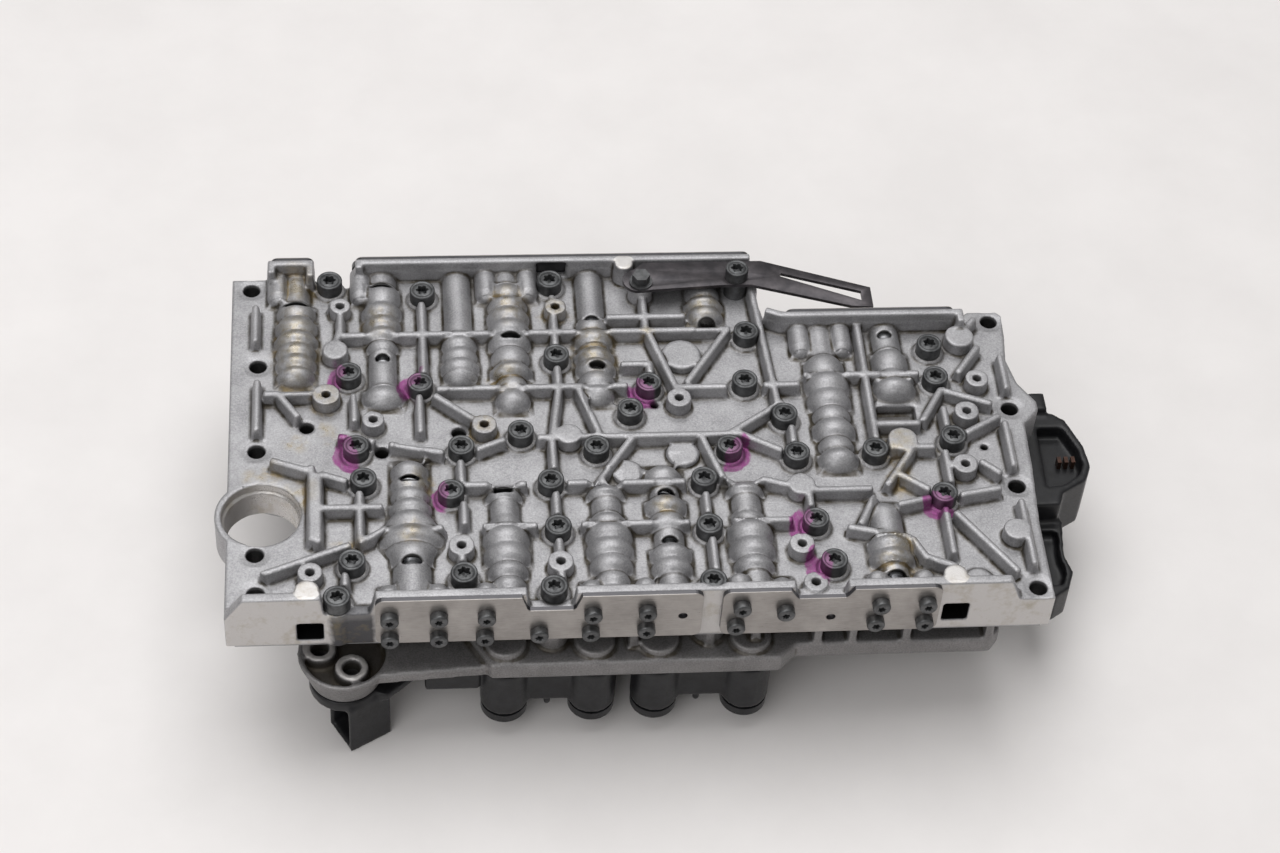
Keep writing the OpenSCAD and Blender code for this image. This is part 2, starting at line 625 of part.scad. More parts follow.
module housing_screws() {
    reach = seat_z + plate_t + chamber_h + tray_t / 2 - over / 2;
    short_reach = seat_z - over;
    color("#4a4a4c") placed() {
        at_each(screws, seat_z) cap_screw(screw_head_d, screw_head_h, screw_d, reach, socket_d);
        at_each([front_screw], seat_z) cap_screw(screw_head_d, screw_head_h, screw_d, short_reach, socket_d);
    }
}

// Bolts through a cover, heads on the side that the sign points to
module cover_bolts(bolts, y, side) {
    for (b = bolts)
        translate([b[0], y, b[1]]) rotate([-90 * side, 0, 0])
            cap_screw(bolt_head_d, bolt_head_h, bolt_d, bolt_depth + cover_t, bolt_d * 0.8);
}

module front_cover_bolts() {
    color("#57585a") placed() cover_bolts(concat(bolts_left, bolts_right), -cover_t, -1);
}

module rear_cover_bolts() {
    color("#57585a") placed() {
        cover_bolts(concat(bolts_rear, bolts_rear_middle), rear_y + cover_t, 1);
        cover_bolts(bolts_rear_right, rear_right_y + cover_t, 1);
    }
}

module detent_leaf_spring() {
    hole = leaf_screw_d + 2 * shank_gap;
    end_r = 6;
    back = rear_y - rim_t - leaf_gap;
    tip = rear_right_y + cover_t + leaf_gap;
    color("#3f4347") placed() translate([0, 0, leaf_z]) difference() {
        linear_extrude(leaf_t) polygon(concat(
            [for (a = [100:20:270]) hex_at + [-1, 1.5] + end_r * [cos(a), sin(a)]],
            [[190, 152.5], [202, 152.5], [241, tip + 0.5], [249, tip], [249, tip + 10.5], [207, back]],
            [[160.5, back]]));
        // Tapering slot of the arm
        translate([0, 0, -over]) linear_extrude(leaf_t + 2 * over)
            polygon([[214.5, 158.5], [213.5, 157], [245, tip + 3.5], [245, tip + 8.5]]);
        translate([standoff_at[0], standoff_at[1], -over]) cylinder(d = hole, h = leaf_t + 2 * over);
        translate([hex_at[0], hex_at[1], -over]) cylinder(d = hole, h = leaf_t + 2 * over);
    }
}

module leaf_standoff() {
    color("#4b4b4d") placed() translate([standoff_at[0], standoff_at[1], floor_t]) difference() {
        cylinder(d = standoff_d, h = standoff_h);
        translate([0, 0, -over]) cylinder(d = leaf_screw_d + 2 * shank_gap, h = standoff_h + 2 * over);
    }
}

leaf_reach = leaf_t + standoff_h + bolt_depth - over / 2;

module leaf_screw() {
    color("#4a4a4c") placed() translate([standoff_at[0], standoff_at[1], leaf_z + leaf_t])
        cap_screw(screw_head_d - 0.8, screw_head_h - 0.5, leaf_screw_d, leaf_reach, socket_d);
}

module leaf_hex_bolt() {
    hex_d = 7;
    washer_d = 9;
    color("#4d4e50") placed() translate([hex_at[0], hex_at[1], leaf_z + leaf_t]) union() {
        translate([0, 0, -leaf_reach]) cylinder(d = leaf_screw_d, h = leaf_reach + over);
        cylinder(d = washer_d, h = 1);
        cylinder(d = hex_d, h = 4.5, $fn = 6);
    }
}

module check_balls() {
    color("#c4c6c9") placed() at_each(balls, chamber_z - ball_d / 2 - ball_gap) sphere(d = ball_d);
}

module dowel_pins() {
    color("#9a9da1") placed() at_each(dowels, -dowel_half) cylinder(d = dowel_d, h = 2 * dowel_half);
}

// Spool with lands that seal and grooves between them
module spool(v) {
    r = spool_r(v);
    groove = 1.2;
    length = spool_length(v);
    lands = max(2, floor(length / 9));
    pitch = length / (lands - 0.45);
    land = pitch * 0.55;
    outline = [
        for (i = [0:lands - 1])
            for (p = [[r - groove, 0], [r, 0], [r, land], [r - groove, land]])
                [p[0], i * pitch + p[1]]];
    color("#b5b8bc") placed() at_mouth(v) translate([0, 0, end_play])
        rotate_extrude()
            polygon(concat([[0, 0]], [for (i = [1:len(outline) - 2]) outline[i]], [[0, length]]));
}

// Coil of square wire section from a blind bore's end to its spool
module spring(v) {
    sides = 4;
    per_turn = 10;
    turns = 5;
    rings = turns * per_turn;
    wire_r = spring_wire / 2;
    coil_r = spool_r(v) - 0.5 - wire_r;
    rise = spring_room - spring_wire - 0.4;
    points = [
        for (i = [0:rings])
            for (k = [0:sides - 1])
                let (a = 360 * i / per_turn, b = 360 * (k + 0.5) / sides, r = coil_r + wire_r * cos(b))
                    [r * cos(a), r * sin(a), rise * i / rings + wire_r * sin(b)]];
    walls = [
        for (i = [0:rings - 1])
            for (k = [0:sides - 1])
                let (n = (k + 1) % sides, q = i * sides, up = q + sides)
                    for (f = [[q + k, up + k, up + n], [q + k, up + n, q + n]]) f];
    ends = [[for (k = [0:sides - 1]) k], [for (k = [sides - 1:-1:0]) rings * sides + k]];
    color("#8f9296") placed() at_mouth(v)
        translate([0, 0, end_play + spool_length(v) + 0.2 + wire_r]) polyhedron(points, concat(walls, ends));
}

// Solenoid valve: nose in the lower housing, body in a sleeve, cap below it
module solenoid(x, y) {
    nose = nose_d / 2;
    body = sleeve_d / 2 - sleeve_wall - 2 * shank_gap;
    cap = sleeve_d / 2 - 0.3;
    slit = 0.9;
    foot = -module_gap - sleeve_h;
    color("#2a2b2d") placed() translate([x, y, under_z]) rotate_extrude() polygon([
        [0, foot - cap_h], [cap - 3, foot - cap_h], [cap, foot - cap_h + 3.5], [cap, foot - slit],
        [body - 0.6, foot - slit], [body, foot], [body, -module_gap], [nose, -module_gap], [nose, nose_h],
        [0, nose_h]]);
}

// Outline beside the housings, with X as a share of the tower's reach
module tower_shape(points) {
    polygon([for (p = points) [tower_left + tower_w * p[0], p[1]]]);
}

module control_module() {
    sleeve_z = carrier_z - sleeve_h;
    inner = sleeve_d / 2 - sleeve_wall;
    arm_t = lug_under - carrier_under;
    band_lift = 1.5;
    band_t = 6;
    plug_base_d = lug_d - 8;
    plug_h = base_h + lug_under - plug_base_h / 2;
    tower = [
        [0, 60], [0.5, 61], [0.57, 67], [0.9, 73], [1, 80], [0.97, 90], [0.8, 104], [0.63, 108], [0.27, 106],
        [0, 100]];
    arm = [
        [0.13, 66], [0.53, 66], [0.57, 60], [0.53, 52], [0.5, 44], [0.57, 36], [0.47, 28], [0.27, 24],
        [0.13, 27]];
    color("#1d1d1f") placed() difference() {
        union() {
            // Carrier plate with a narrow front part between the solenoid valves
            translate([0, 0, carrier_under]) linear_extrude(carrier_t) polygon([
                [92, 1], [138, 1], [140, 26], [148, 26], [150, 1], [198, 1], [204, 46], [282, 48], [284, 128],
                [204, 130], [198, 158], [64, 158], [62, 46], [88, 44]]);
            translate([70, 0, carrier_under + 1]) cube([20, 46, carrier_t - 1]);
            for (x = solenoid_xs)
                for (y = solenoid_ys)
                    translate([x, y, sleeve_z]) cylinder(d = sleeve_d, h = sleeve_h);
            // Band that joins the front sleeves in pairs, with a peg below it
            for (i = [0, 2])
                translate([solenoid_xs[i], 1, sleeve_z + band_lift]) {
                    cube([solenoid_xs[i + 1] - solenoid_xs[i], band_t, sleeve_h - band_lift]);
                    translate([16, band_t / 2, -5]) cylinder(d = 3, h = 6);
                }
            // Plug socket on a round base below the lug, on an arm of the carrier
            translate([lug_at[0], lug_at[1], lug_under - plug_base_h])
                cylinder(d = plug_base_d, h = plug_base_h);
            translate([0, 0, carrier_under]) linear_extrude(arm_t)
                polygon([[36, 4], [56, -4], [72, 10], [72, 44], [60, 44]]);
            translate([plug_at[0], plug_at[1], -base_h]) rotate([0, 0, plug_turn])
                translate([-plug_size[0] / 2, -plug_size[1] / 2, 0])
                    cube([plug_size[0], plug_size[1], plug_h]);
            // Sensor tower and its lower arm on a foot that leaves the carrier at the right
            translate([0, 0, tower_z - tower_h]) linear_extrude(tower_h) tower_shape(tower);
            translate([0, 0, tower_z - tower_h]) linear_extrude(tower_h - 10) tower_shape(arm);
            translate([0, 0, carrier_under]) linear_extrude(tower_z - tower_h + over - carrier_under)
                tower_shape([[-0.67, 60], [0.2, 62], [0.6, 72], [0.6, 96], [0, 104], [-0.67, 104]]);
            translate([tower_left + tower_w * 0.35, 107, tower_z - 9]) cube([6.5, 9, 9 + 3]);
        }
        for (x = solenoid_xs)
            for (y = solenoid_ys)
                translate([x, y, sleeve_z - over]) cylinder(r = inner, h = sleeve_h + carrier_t + over);
        // Open mouth of the plug socket
        translate([plug_at[0], plug_at[1], -base_h]) rotate([0, 0, plug_turn])
            translate([-plug_size[0] / 2 - over, -plug_size[1] / 2 + socket_wall, socket_wall])
                cube([
                    plug_size[0] - plug_back + over, plug_size[1] - 2 * socket_wall,
                    case_h - 2 * socket_wall]);
        // Recesses in the tower's top and in its arm
        translate([0, 0, tower_z - tower_recess]) linear_extrude(deep) tower_shape([
            [0.37, 70], [0.6, 71], [0.83, 76], [0.9, 81], [0.87, 89], [0.73, 100], [0.4, 100]]);
        translate([0, 0, tower_z - 14]) linear_extrude(deep) tower_shape([
            [0.23, 56], [0.47, 56], [0.43, 44], [0.47, 36], [0.4, 30], [0.23, 30]]);
        at_each(module_screws_at, carrier_under - over)
            cylinder(d = bolt_d + 2 * shank_gap, h = carrier_t + 2 * over);
        at_each(module_screws_at, carrier_under - over)
            cylinder(d = bolt_head_d + 1, h = bolt_head_h + 1 + over);
    }
}

module sensor_contacts() {
    color("#8a4f35") placed() for (share = contact_shares)
        translate([tower_left + tower_w * share, contact_y, tower_z - tower_recess])
            cube([tower_w * 0.05, 3, 4]);
}

module electronics_case() {
    edge = 4;
    span = [84, 236];
    depth = [62, 132];
    color("#26272a") placed() translate([0, 0, -base_h]) linear_extrude(case_h) polygon([
        [span[0] + edge, depth[0]], [span[1] - edge, depth[0]], [span[1], depth[0] + edge],
        [span[1], 126], [200, 127], [197, depth[1]], [span[0] + edge, depth[1]], [span[0], depth[1] - edge],
        [span[0], depth[0] + edge]]);
}

module module_screws() {
    reach = carrier_t - bolt_head_h - 1 + module_gap + bolt_depth - over;
    color("#57585a") placed() at_each(module_screws_at, carrier_under + bolt_head_h + 1)
        rotate([180, 0, 0]) cap_screw(bolt_head_d, bolt_head_h, bolt_d, reach, bolt_d * 0.8);
}

upper_valve_housing();
separator_plate();
lower_valve_housing();
front_cover_left();
front_cover_right();
rear_cover_left();
rear_cover_middle();
rear_cover_right();
housing_screws();
front_cover_bolts();
rear_cover_bolts();
detent_leaf_spring();
leaf_standoff();
leaf_screw();
leaf_hex_bolt();
check_balls();
dowel_pins();
control_module();
sensor_contacts();
electronics_case();
module_screws();
for (i = [0:len(valves) - 1]) {
    spool(valves[i]);
    spring(valves[i]);
}
for (i = [0:3])
    for (j = [0:1])
        solenoid(solenoid_xs[i], solenoid_ys[j]);
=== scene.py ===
import json
import math
import bmesh
import bpy
import numpy as np
from mathutils import Matrix, Vector


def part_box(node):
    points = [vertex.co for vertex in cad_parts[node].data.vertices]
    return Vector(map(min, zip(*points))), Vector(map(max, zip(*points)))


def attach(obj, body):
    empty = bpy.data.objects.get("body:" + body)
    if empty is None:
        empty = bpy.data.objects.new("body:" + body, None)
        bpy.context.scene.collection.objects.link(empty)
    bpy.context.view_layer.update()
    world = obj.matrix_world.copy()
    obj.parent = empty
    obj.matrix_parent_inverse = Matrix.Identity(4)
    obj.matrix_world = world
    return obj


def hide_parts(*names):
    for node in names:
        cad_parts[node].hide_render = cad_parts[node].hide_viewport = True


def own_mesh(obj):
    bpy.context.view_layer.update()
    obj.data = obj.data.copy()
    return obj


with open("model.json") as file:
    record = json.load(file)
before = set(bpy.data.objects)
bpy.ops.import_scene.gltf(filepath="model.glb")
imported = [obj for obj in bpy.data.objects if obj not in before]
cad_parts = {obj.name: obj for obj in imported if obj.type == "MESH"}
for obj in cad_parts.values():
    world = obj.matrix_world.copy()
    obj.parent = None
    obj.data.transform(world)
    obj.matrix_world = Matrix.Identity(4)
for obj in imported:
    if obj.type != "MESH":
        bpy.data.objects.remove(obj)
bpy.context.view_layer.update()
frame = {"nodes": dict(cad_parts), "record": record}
mm = 0.001
print("frame:", len(frame["nodes"]), "nodes")

# the layout starts at the upper housing's front left corner on its mating face
coverEdge = 52.5  # where the left front cover starts, in mm
coverLow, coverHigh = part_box("front_cover_left")
layoutStart = Vector((coverLow.x - coverEdge * mm, coverHigh.y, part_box("separator_plate")[1].z))
floorLevel = 16.0  # floor between the ribs, in mm above the mating face


def place(x, y, z=0.0):
    return layoutStart + Vector((x, y, z)) * mm


def heightAt(z):
    return place(0, 0, z).z


# shader nodes

def add(tree, kind, values=None, feeds=None, **settings):
    item = tree.nodes.new("ShaderNode" + kind)
    for key, value in settings.items():
        setattr(item, key, value)
    for key, value in (values or {}).items():
        item.inputs[key].default_value = value
    for key, source in (feeds or {}).items():
        tree.links.new(source, item.inputs[key])
    return item


def newMaterial(name):
    mat = bpy.data.materials.new(name)
    mat.use_nodes = True
    tree = mat.node_tree
    coords = add(tree, "TexCoord").outputs["Object"]
    return mat, tree, tree.nodes["Principled BSDF"], coords


def noise(tree, coords, grain, detail=3.0, rough=0.55):
    # grain is the size of one patch, in mm
    values = {"Scale": 1.0 / (grain * mm), "Detail": detail, "Roughness": rough}
    return add(tree, "TexNoise", values, {"Vector": coords})


def span(tree, source, low, high, outLow=0.0, outHigh=1.0):
    values = {"From Min": low, "From Max": high, "To Min": outLow, "To Max": outHigh}
    return add(tree, "MapRange", values, {"Value": source}, clamp=True).outputs["Result"]


def fall(tree, source, low, high):
    # one up to low, zero from high on
    return span(tree, source, low, high, 1.0, 0.0)


def combine(tree, operation, first, second):
    item = add(tree, "Math", operation=operation)
    for index, source in enumerate((first, second)):
        if isinstance(source, (int, float)):
            item.inputs[index].default_value = source
        else:
            tree.links.new(source, item.inputs[index])
    return item.outputs[0]


def times(tree, first, second):
    return combine(tree, "MULTIPLY", first, second)


def larger(tree, first, second):
    return combine(tree, "MAXIMUM", first, second)


def blendColour(tree, amount, first, second):
    item = add(tree, "Mix", data_type="RGBA")
    for index, source in ((0, amount), (6, first), (7, second)):
        if isinstance(source, (int, float)):
            item.inputs[index].default_value = source
        elif isinstance(source, tuple):
            item.inputs[index].default_value = (*source, 1.0)
        else:
            tree.links.new(source, item.inputs[index])
    return item.outputs[2]


def bump(tree, shader, height, strength, depth):
    # depth is the full height of the relief, in mm
    values = {"Strength": strength, "Distance": depth * mm}
    item = add(tree, "Bump", values, {"Height": height})
    tree.links.new(item.outputs["Normal"], shader.inputs["Normal"])


# materials

castLook = {
    "pale": (0.452, 0.448, 0.46), "deep": (0.268, 0.265, 0.274), "creviceGrimeAndShade": (0.06, 0.051, 0.038),
    "wornAndLitEdge": (0.54, 0.535, 0.545), "metal": 0.7, "rough": (0.4, 0.58), "patch": 12.0, "grain": 0.5,
    "oil": (0.26, 0.205, 0.1), "amber": (0.17, 0.115, 0.04), "paint": (0.255, 0.062, 0.205),
    "machined": (0.58, 0.56, 0.545), "hole": (0.012, 0.011, 0.01), "pocket": (0.008, 0.008, 0.008),
}
oilPlaces = [  # films of old oil: x, y, half width, half depth
    (24, 128, 9, 24), (24, 55, 9, 8), (24, 82, 5, 5), (107, 148, 8, 12), (139, 123, 9, 14),
    (160, 132, 4, 4), (183, 144, 8, 8), (251, 72, 7, 8), (250, 58, 6, 10), (242, 15, 9, 8),
    (43, 31, 6, 4), (35.5, 101.5, 6, 6), (94.5, 85, 5.5, 5.5), (66, 33, 5, 7), (160, 45, 5, 8),
    (57, 140, 7, 9), (36, 88, 4, 8), (124.5, 145.5, 6, 5), (24, 160, 9, 8), (70, 60, 6, 6),
    (103, 110, 7, 8), (245, 25, 6, 6), (12, 66, 8, 5)]
# marking paint beside screws: x, y, middle direction and half angle in degrees, inner and outer radius
paintPlaces = [
    (44, 112.5, 180, 52, 1.6, 8.8), (71, 106.5, 150, 66, 1.6, 9.6), (158, 104.5, 226, 66, 1.6, 8.6),
    (46.5, 75.5, 198, 80, 1.6, 9.2), (81, 53, 184, 64, 1.6, 7.4), (186, 72, -34, 80, 1.6, 8.6),
    (214.5, 35.5, 172, 56, 1.6, 10.5), (219, 16, 190, 58, 1.6, 10.5), (264, 46.5, 240, 64, 1.6, 9.6)]
pickup = {"middle": (11.5, 48), "radius": 14.7}  # bored wall of the pickup hole
padPlaces = [  # milled pads on the walls: x, y, radius
    (28.5, 5, 5.2), (261.5, 5, 5.2), (152.5, 164.75, 4.4)]


def shifted(tree, coords, patch, reach):
    # coordinates pushed about by noise, so that a drawn edge runs unevenly
    drift = noise(tree, coords, patch, 3.0).outputs["Color"]
    centred = add(tree, "VectorMath", {1: (0.5, 0.5, 0.5)}, {0: drift}, operation="SUBTRACT").outputs[0]
    moved = add(tree, "VectorMath", {1: (reach * mm,) * 3}, {0: centred}, operation="MULTIPLY").outputs[0]
    return add(tree, "VectorMath", None, {0: coords, 1: moved}, operation="ADD").outputs[0]


def fromPlace(tree, coords, x, y, scale=(1.0, 1.0)):
    # flat vector from a place of the layout, in mm times the scale
    away = add(tree, "VectorMath", {1: place(x, y)}, {0: coords}, operation="SUBTRACT").outputs[0]
    flat = (scale[0] / mm, scale[1] / mm, 0.0)
    return add(tree, "VectorMath", {1: flat}, {0: away}, operation="MULTIPLY").outputs[0]


def lengthOf(tree, vector):
    return add(tree, "VectorMath", None, {0: vector}, operation="LENGTH").outputs["Value"]


def distanceTo(tree, coords, x, y):
    # flat distance from a place of the layout, in mm
    return lengthOf(tree, fromPlace(tree, coords, x, y))


def oilFilm(tree, coords):
    # largest of several soft ellipses, broken up by streaks
    bent = shifted(tree, coords, 7.0, 9.0)
    total = 0.0
    for x, y, halfWidth, halfDepth in oilPlaces:
        unit = lengthOf(tree, fromPlace(tree, bent, x, y, (1 / halfWidth, 1 / halfDepth)))
        total = larger(tree, total, fall(tree, unit, 0.35, 1.15))
    streaks = span(tree, noise(tree, coords, 3.5, 4.0).outputs["Fac"], 0.36, 0.6)
    return times(tree, total, streaks)


def paintMarks(tree, coords):
    # ring pieces round the screws: between two radii, and within an angle of a direction
    bent = shifted(tree, coords, 3.5, 2.6)
    total = 0.0
    for x, y, heading, half, inner, outer in paintPlaces:
        away = fromPlace(tree, bent, x, y)
        radius = lengthOf(tree, away)
        ring = times(
            tree, span(tree, radius, inner - 0.4, inner), fall(tree, radius, outer - 0.7, outer))
        unit = add(tree, "VectorMath", None, {0: away}, operation="NORMALIZE").outputs[0]
        ahead = (math.cos(math.radians(heading)), math.sin(math.radians(heading)), 0.0)
        turn = add(tree, "VectorMath", {1: ahead}, {0: unit}, operation="DOT_PRODUCT").outputs["Value"]
        sector = span(tree, turn, math.cos(math.radians(half + 6)), math.cos(math.radians(half - 6)))
        total = larger(tree, total, times(tree, ring, sector))
    strokes = {"Scale": (1.0, 0.35, 1.0), "Rotation": (0, 0, 0.3)}
    brushed = add(tree, "Mapping", strokes, {"Vector": coords}).outputs["Vector"]
    thin = span(tree, noise(tree, brushed, 1.3, 3.0).outputs["Fac"], 0.3, 0.6, 0.7, 0.97)
    return times(tree, total, thin)


def milledFaces(tree, coords):
    # the front face, the wall of the pickup hole, and the tops of the pads on the walls
    split = add(tree, "SeparateXYZ", None, {0: coords})
    face = fall(tree, split.outputs["Y"], place(0, 0.15).y, place(0, 0.3).y)
    high = span(tree, split.outputs["Z"], heightAt(floorLevel + 9.5), heightAt(floorLevel + 9.8))
    pads = 0.0
    for x, y, radius in padPlaces:
        pads = larger(tree, pads, fall(tree, distanceTo(tree, coords, x, y), radius - 0.3, radius))
    away, radius = distanceTo(tree, coords, *pickup["middle"]), pickup["radius"]
    below = fall(tree, split.outputs["Z"], heightAt(floorLevel - 0.5), heightAt(floorLevel - 0.2))
    bore = times(tree, fall(tree, away, radius, radius + 0.3), below)
    return larger(tree, larger(tree, face, bore), times(tree, high, pads))


bossPlaces = [  # bosses with a pin hole: x, y, top diameter
    (41, 147.5, 8), (35.5, 101.5, 10.5), (53, 88.5, 8.5), (94.5, 85, 9.5), (84, 27, 9.5), (29.5, 16, 9),
    (124.5, 145.5, 8.5), (169, 96.5, 9.5), (119.5, 18.5, 9.5), (208, 24, 9.5), (211, 6, 9), (285, 103.5, 9),
    (278.5, 87, 9.5), (274, 60.5, 9.5)]
holePlaces = [  # holes through the flange and the floor
    (6.5, 162.5), (9.5, 122), (9.5, 79), (9.5, 29.5), (10, 11.5), (296, 139), (297, 93), (293.5, 54),
    (293.5, 5.5), (28, 90), (85, 86), (56, 77), (284, 73.5), (160, 98)]
holePlaces += [(boss[0], boss[1]) for boss in bossPlaces]


def holeShade(tree, coords):
    # painted shade on the walls of the holes, from just below their mouths
    total = 0.0
    for x, y in holePlaces:
        total = larger(tree, total, fall(tree, distanceTo(tree, coords, x, y), 3.5, 3.8))
    height = add(tree, "SeparateXYZ", None, {0: coords}).outputs["Z"]
    low, high = heightAt(floorLevel - 2.5), heightAt(floorLevel - 0.7)
    return times(tree, total, span(tree, height, low, high, 0.9, 0.0))


windowPlaces = [  # slots through the tops of the valve shells: x, y, width, length
    (24, 149.5, 9, 1.6), (57, 159, 8, 1.6), (57, 121.5, 5, 3), (106.5, 130, 7, 2.6), (138.5, 140.5, 5, 1.6),
    (139, 114, 6, 2.4), (183.5, 137.5, 6, 2), (252.5, 129, 5, 2.6), (66, 60, 7, 2.4), (66, 21, 7, 2.4),
    (100, 53.5, 7, 2.6), (160.5, 51, 6, 2.4), (160, 28.5, 5.5, 2.2), (242, 10, 7, 2.6)]


def windowShade(tree, coords):
    # painted shade inside the slots
    total = 0.0
    for x, y, width, length in windowPlaces:
        unit = lengthOf(tree, fromPlace(tree, coords, x, y, (2 / (width + 0.8), 2 / (length + 1.4))))
        total = larger(tree, total, span(tree, unit, 0.95, 1.2, 0.95, 0.0))
    return total


frontMarks = {  # on the front face: pockets painted black as shade, as x, x, z, z, and a patch of painted shade beside the left cover
    "pockets": [(24.5, 34, 2.5, 12), (258, 267.5, 4.5, 14)], "patch": (35.5, 53.0),
    "recessShade": (0.05, 0.05, 0.056)}


def within(tree, source, low, high, soft):
    # one between low and high, falling to zero over soft on each side
    return times(tree, span(tree, source, low, low + soft), fall(tree, source, high - soft, high))


def pocketShade(tree, coords):
    # painted shade inside the pockets, and a painted shade patch of the face with uneven ends
    split = add(tree, "SeparateXYZ", None, {0: coords})
    total = 0.0
    for left, right, low, high in frontMarks["pockets"]:
        across = within(tree, split.outputs["X"], place(left - 0.4, 0).x, place(right + 0.4, 0).x, 0.2 * mm)
        upward = within(tree, split.outputs["Z"], heightAt(low - 0.4), heightAt(high + 0.4), 0.2 * mm)
        total = larger(tree, total, times(tree, across, upward))
    total = times(tree, total, within(tree, split.outputs["Y"], place(0, 0.5).y, place(0, 15).y, 0.4 * mm))
    bent = add(tree, "SeparateXYZ", None, {0: shifted(tree, coords, 4.0, 3.0)})
    patch = within(tree, bent.outputs["X"], *(place(x, 0).x for x in frontMarks["patch"]), 2.0 * mm)
    patch = times(tree, patch, fall(tree, split.outputs["Y"], place(0, 3).y, place(0, 5).y))
    low = span(tree, bent.outputs["Z"], heightAt(13), heightAt(17), 0.95, 0.7)
    return total, times(tree, patch, low)


lugLook = {"bosses": [(43.5, -1), (32, 8)], "ring": 6.4, "middle": (41, 6), "dish": 15.2, "top": -12.2}


def lugTops(tree, coords):
    # milled tops of the lug's two bosses, and painted shade in the dish between them
    look = lugLook
    height = add(tree, "SeparateXYZ", None, {0: coords}).outputs["Z"]
    level = span(tree, height, heightAt(look["top"] - 0.5), heightAt(look["top"] - 0.25))
    rings = 0.0
    for x, y in look["bosses"]:
        ring = fall(tree, distanceTo(tree, coords, x, y), look["ring"] - 0.3, look["ring"])
        rings = larger(tree, rings, ring)
    away = distanceTo(tree, coords, *look["middle"])
    inside = fall(tree, away, look["dish"] - 0.6, look["dish"])
    below = fall(tree, height, heightAt(look["top"] - 2.5), heightAt(look["top"] - 0.6))
    above = span(tree, height, heightAt(look["top"] - 6), heightAt(look["top"] - 5.6))
    dish = times(tree, times(tree, inside, below), above)
    return times(tree, rings, level), dish


def castAluminium(name, look, marked):
    mat, tree, shader, coords = newMaterial(name)
    patches = noise(tree, coords, look["patch"], 5.0, 0.6).outputs["Fac"]
    grain = noise(tree, coords, look["grain"], 2.0, 0.7).outputs["Fac"]
    speckle = noise(tree, coords, look["grain"] * 1.35, 2.0, 0.7).outputs["Fac"]
    tone = combine(tree, "ADD", times(tree, patches, 0.42), times(tree, speckle, 0.58))
    colour = blendColour(tree, span(tree, tone, 0.36, 0.64), look["deep"], look["pale"])
    # hollow above 0, edge below 0, in mm
    fold = add(tree, "Attribute", attribute_name="fold").outputs["Fac"]
    # edges lighter: part wear, part painted highlight
    colour = blendColour(tree, span(tree, fold, -0.6, -0.15, 0.25, 0.0), colour, look["wornAndLitEdge"])
    # hollows darker: grime and painted shade, made uneven by noise
    grimeAndShade = span(tree, noise(tree, coords, 5.0, 4.0).outputs["Fac"], 0.3, 0.6, 0.45, 1.0)
    colour = blendColour(tree, times(tree, span(tree, fold, 0.05, 0.24), grimeAndShade), colour, look["creviceGrimeAndShade"])
    rough = span(tree, grain, 0.3, 0.7, *look["rough"])
    if marked:
        oil = oilFilm(tree, coords)
        colour = blendColour(tree, times(tree, oil, 0.55), colour, look["oil"])
        traces = times(tree, oil, span(tree, fold, 0.02, 0.12, 0.0, 0.8))  # oil dried in the hollows
        colour = blendColour(tree, traces, colour, look["amber"])
        rough = combine(tree, "SUBTRACT", rough, times(tree, oil, 0.2))
        colour = blendColour(tree, paintMarks(tree, coords), colour, look["paint"])
        # holes and slots darkened: painted shade
        dark = larger(tree, holeShade(tree, coords), windowShade(tree, coords))
        colour = blendColour(tree, dark, colour, look["hole"])
        milled = milledFaces(tree, coords)
        colour = blendColour(tree, times(tree, milled, 0.85), colour, look["machined"])
        rough = combine(tree, "SUBTRACT", rough, times(tree, milled, 0.12))
        pockets, patch = pocketShade(tree, coords)
        # painted shade where the face recedes beside the left cover
        colour = blendColour(tree, patch, colour, frontMarks["recessShade"])
        smear = span(tree, noise(tree, coords, 6.0, 5.0, 0.65).outputs["Fac"], 0.5, 0.72, 0.0, 0.45)
        colour = blendColour(tree, times(tree, milled, smear), colour, look["oil"])
        # pockets painted black as shade
        colour = blendColour(tree, pockets, colour, look["pocket"])
    else:
        milled, dish = lugTops(tree, coords)
        # painted shade in the lug's recessed dish
        colour = blendColour(tree, times(tree, dish, 0.75), colour, look["creviceGrimeAndShade"])
        colour = blendColour(tree, times(tree, milled, 0.85), colour, look["machined"])
    tree.links.new(colour, shader.inputs["Base Color"])
    tree.links.new(rough, shader.inputs["Roughness"])
    shader.inputs["Metallic"].default_value = look["metal"]
    height = combine(tree, "ADD", grain, times(tree, patches, 0.5))
    bump(tree, shader, height, 0.65, 0.16)
    return mat


steelLook = {
    "pale": (0.42, 0.397, 0.378), "deep": (0.26, 0.243, 0.23), "rough": (0.26, 0.42),
    "stretch": (0.12, 1.0, 1.6)}
# places along y of the covers' cut edges, behind their faces, painted dark as shade
edgeShadeSpans = [(-1.7, 20), (160, 170.7), (130, 138.7)]


def shadedCutEdges(tree, coords):
    # one inside the spans, zero on the faces of the plates: where the edges get painted shade
    along = add(tree, "SeparateXYZ", None, {0: coords}).outputs["Y"]
    total = 0.0
    for low, high in edgeShadeSpans:
        after = span(tree, along, place(0, low - 0.1).y, place(0, low + 0.1).y)
        before = fall(tree, along, place(0, high - 0.1).y, place(0, high + 0.1).y)
        total = larger(tree, total, times(tree, after, before))
    return total


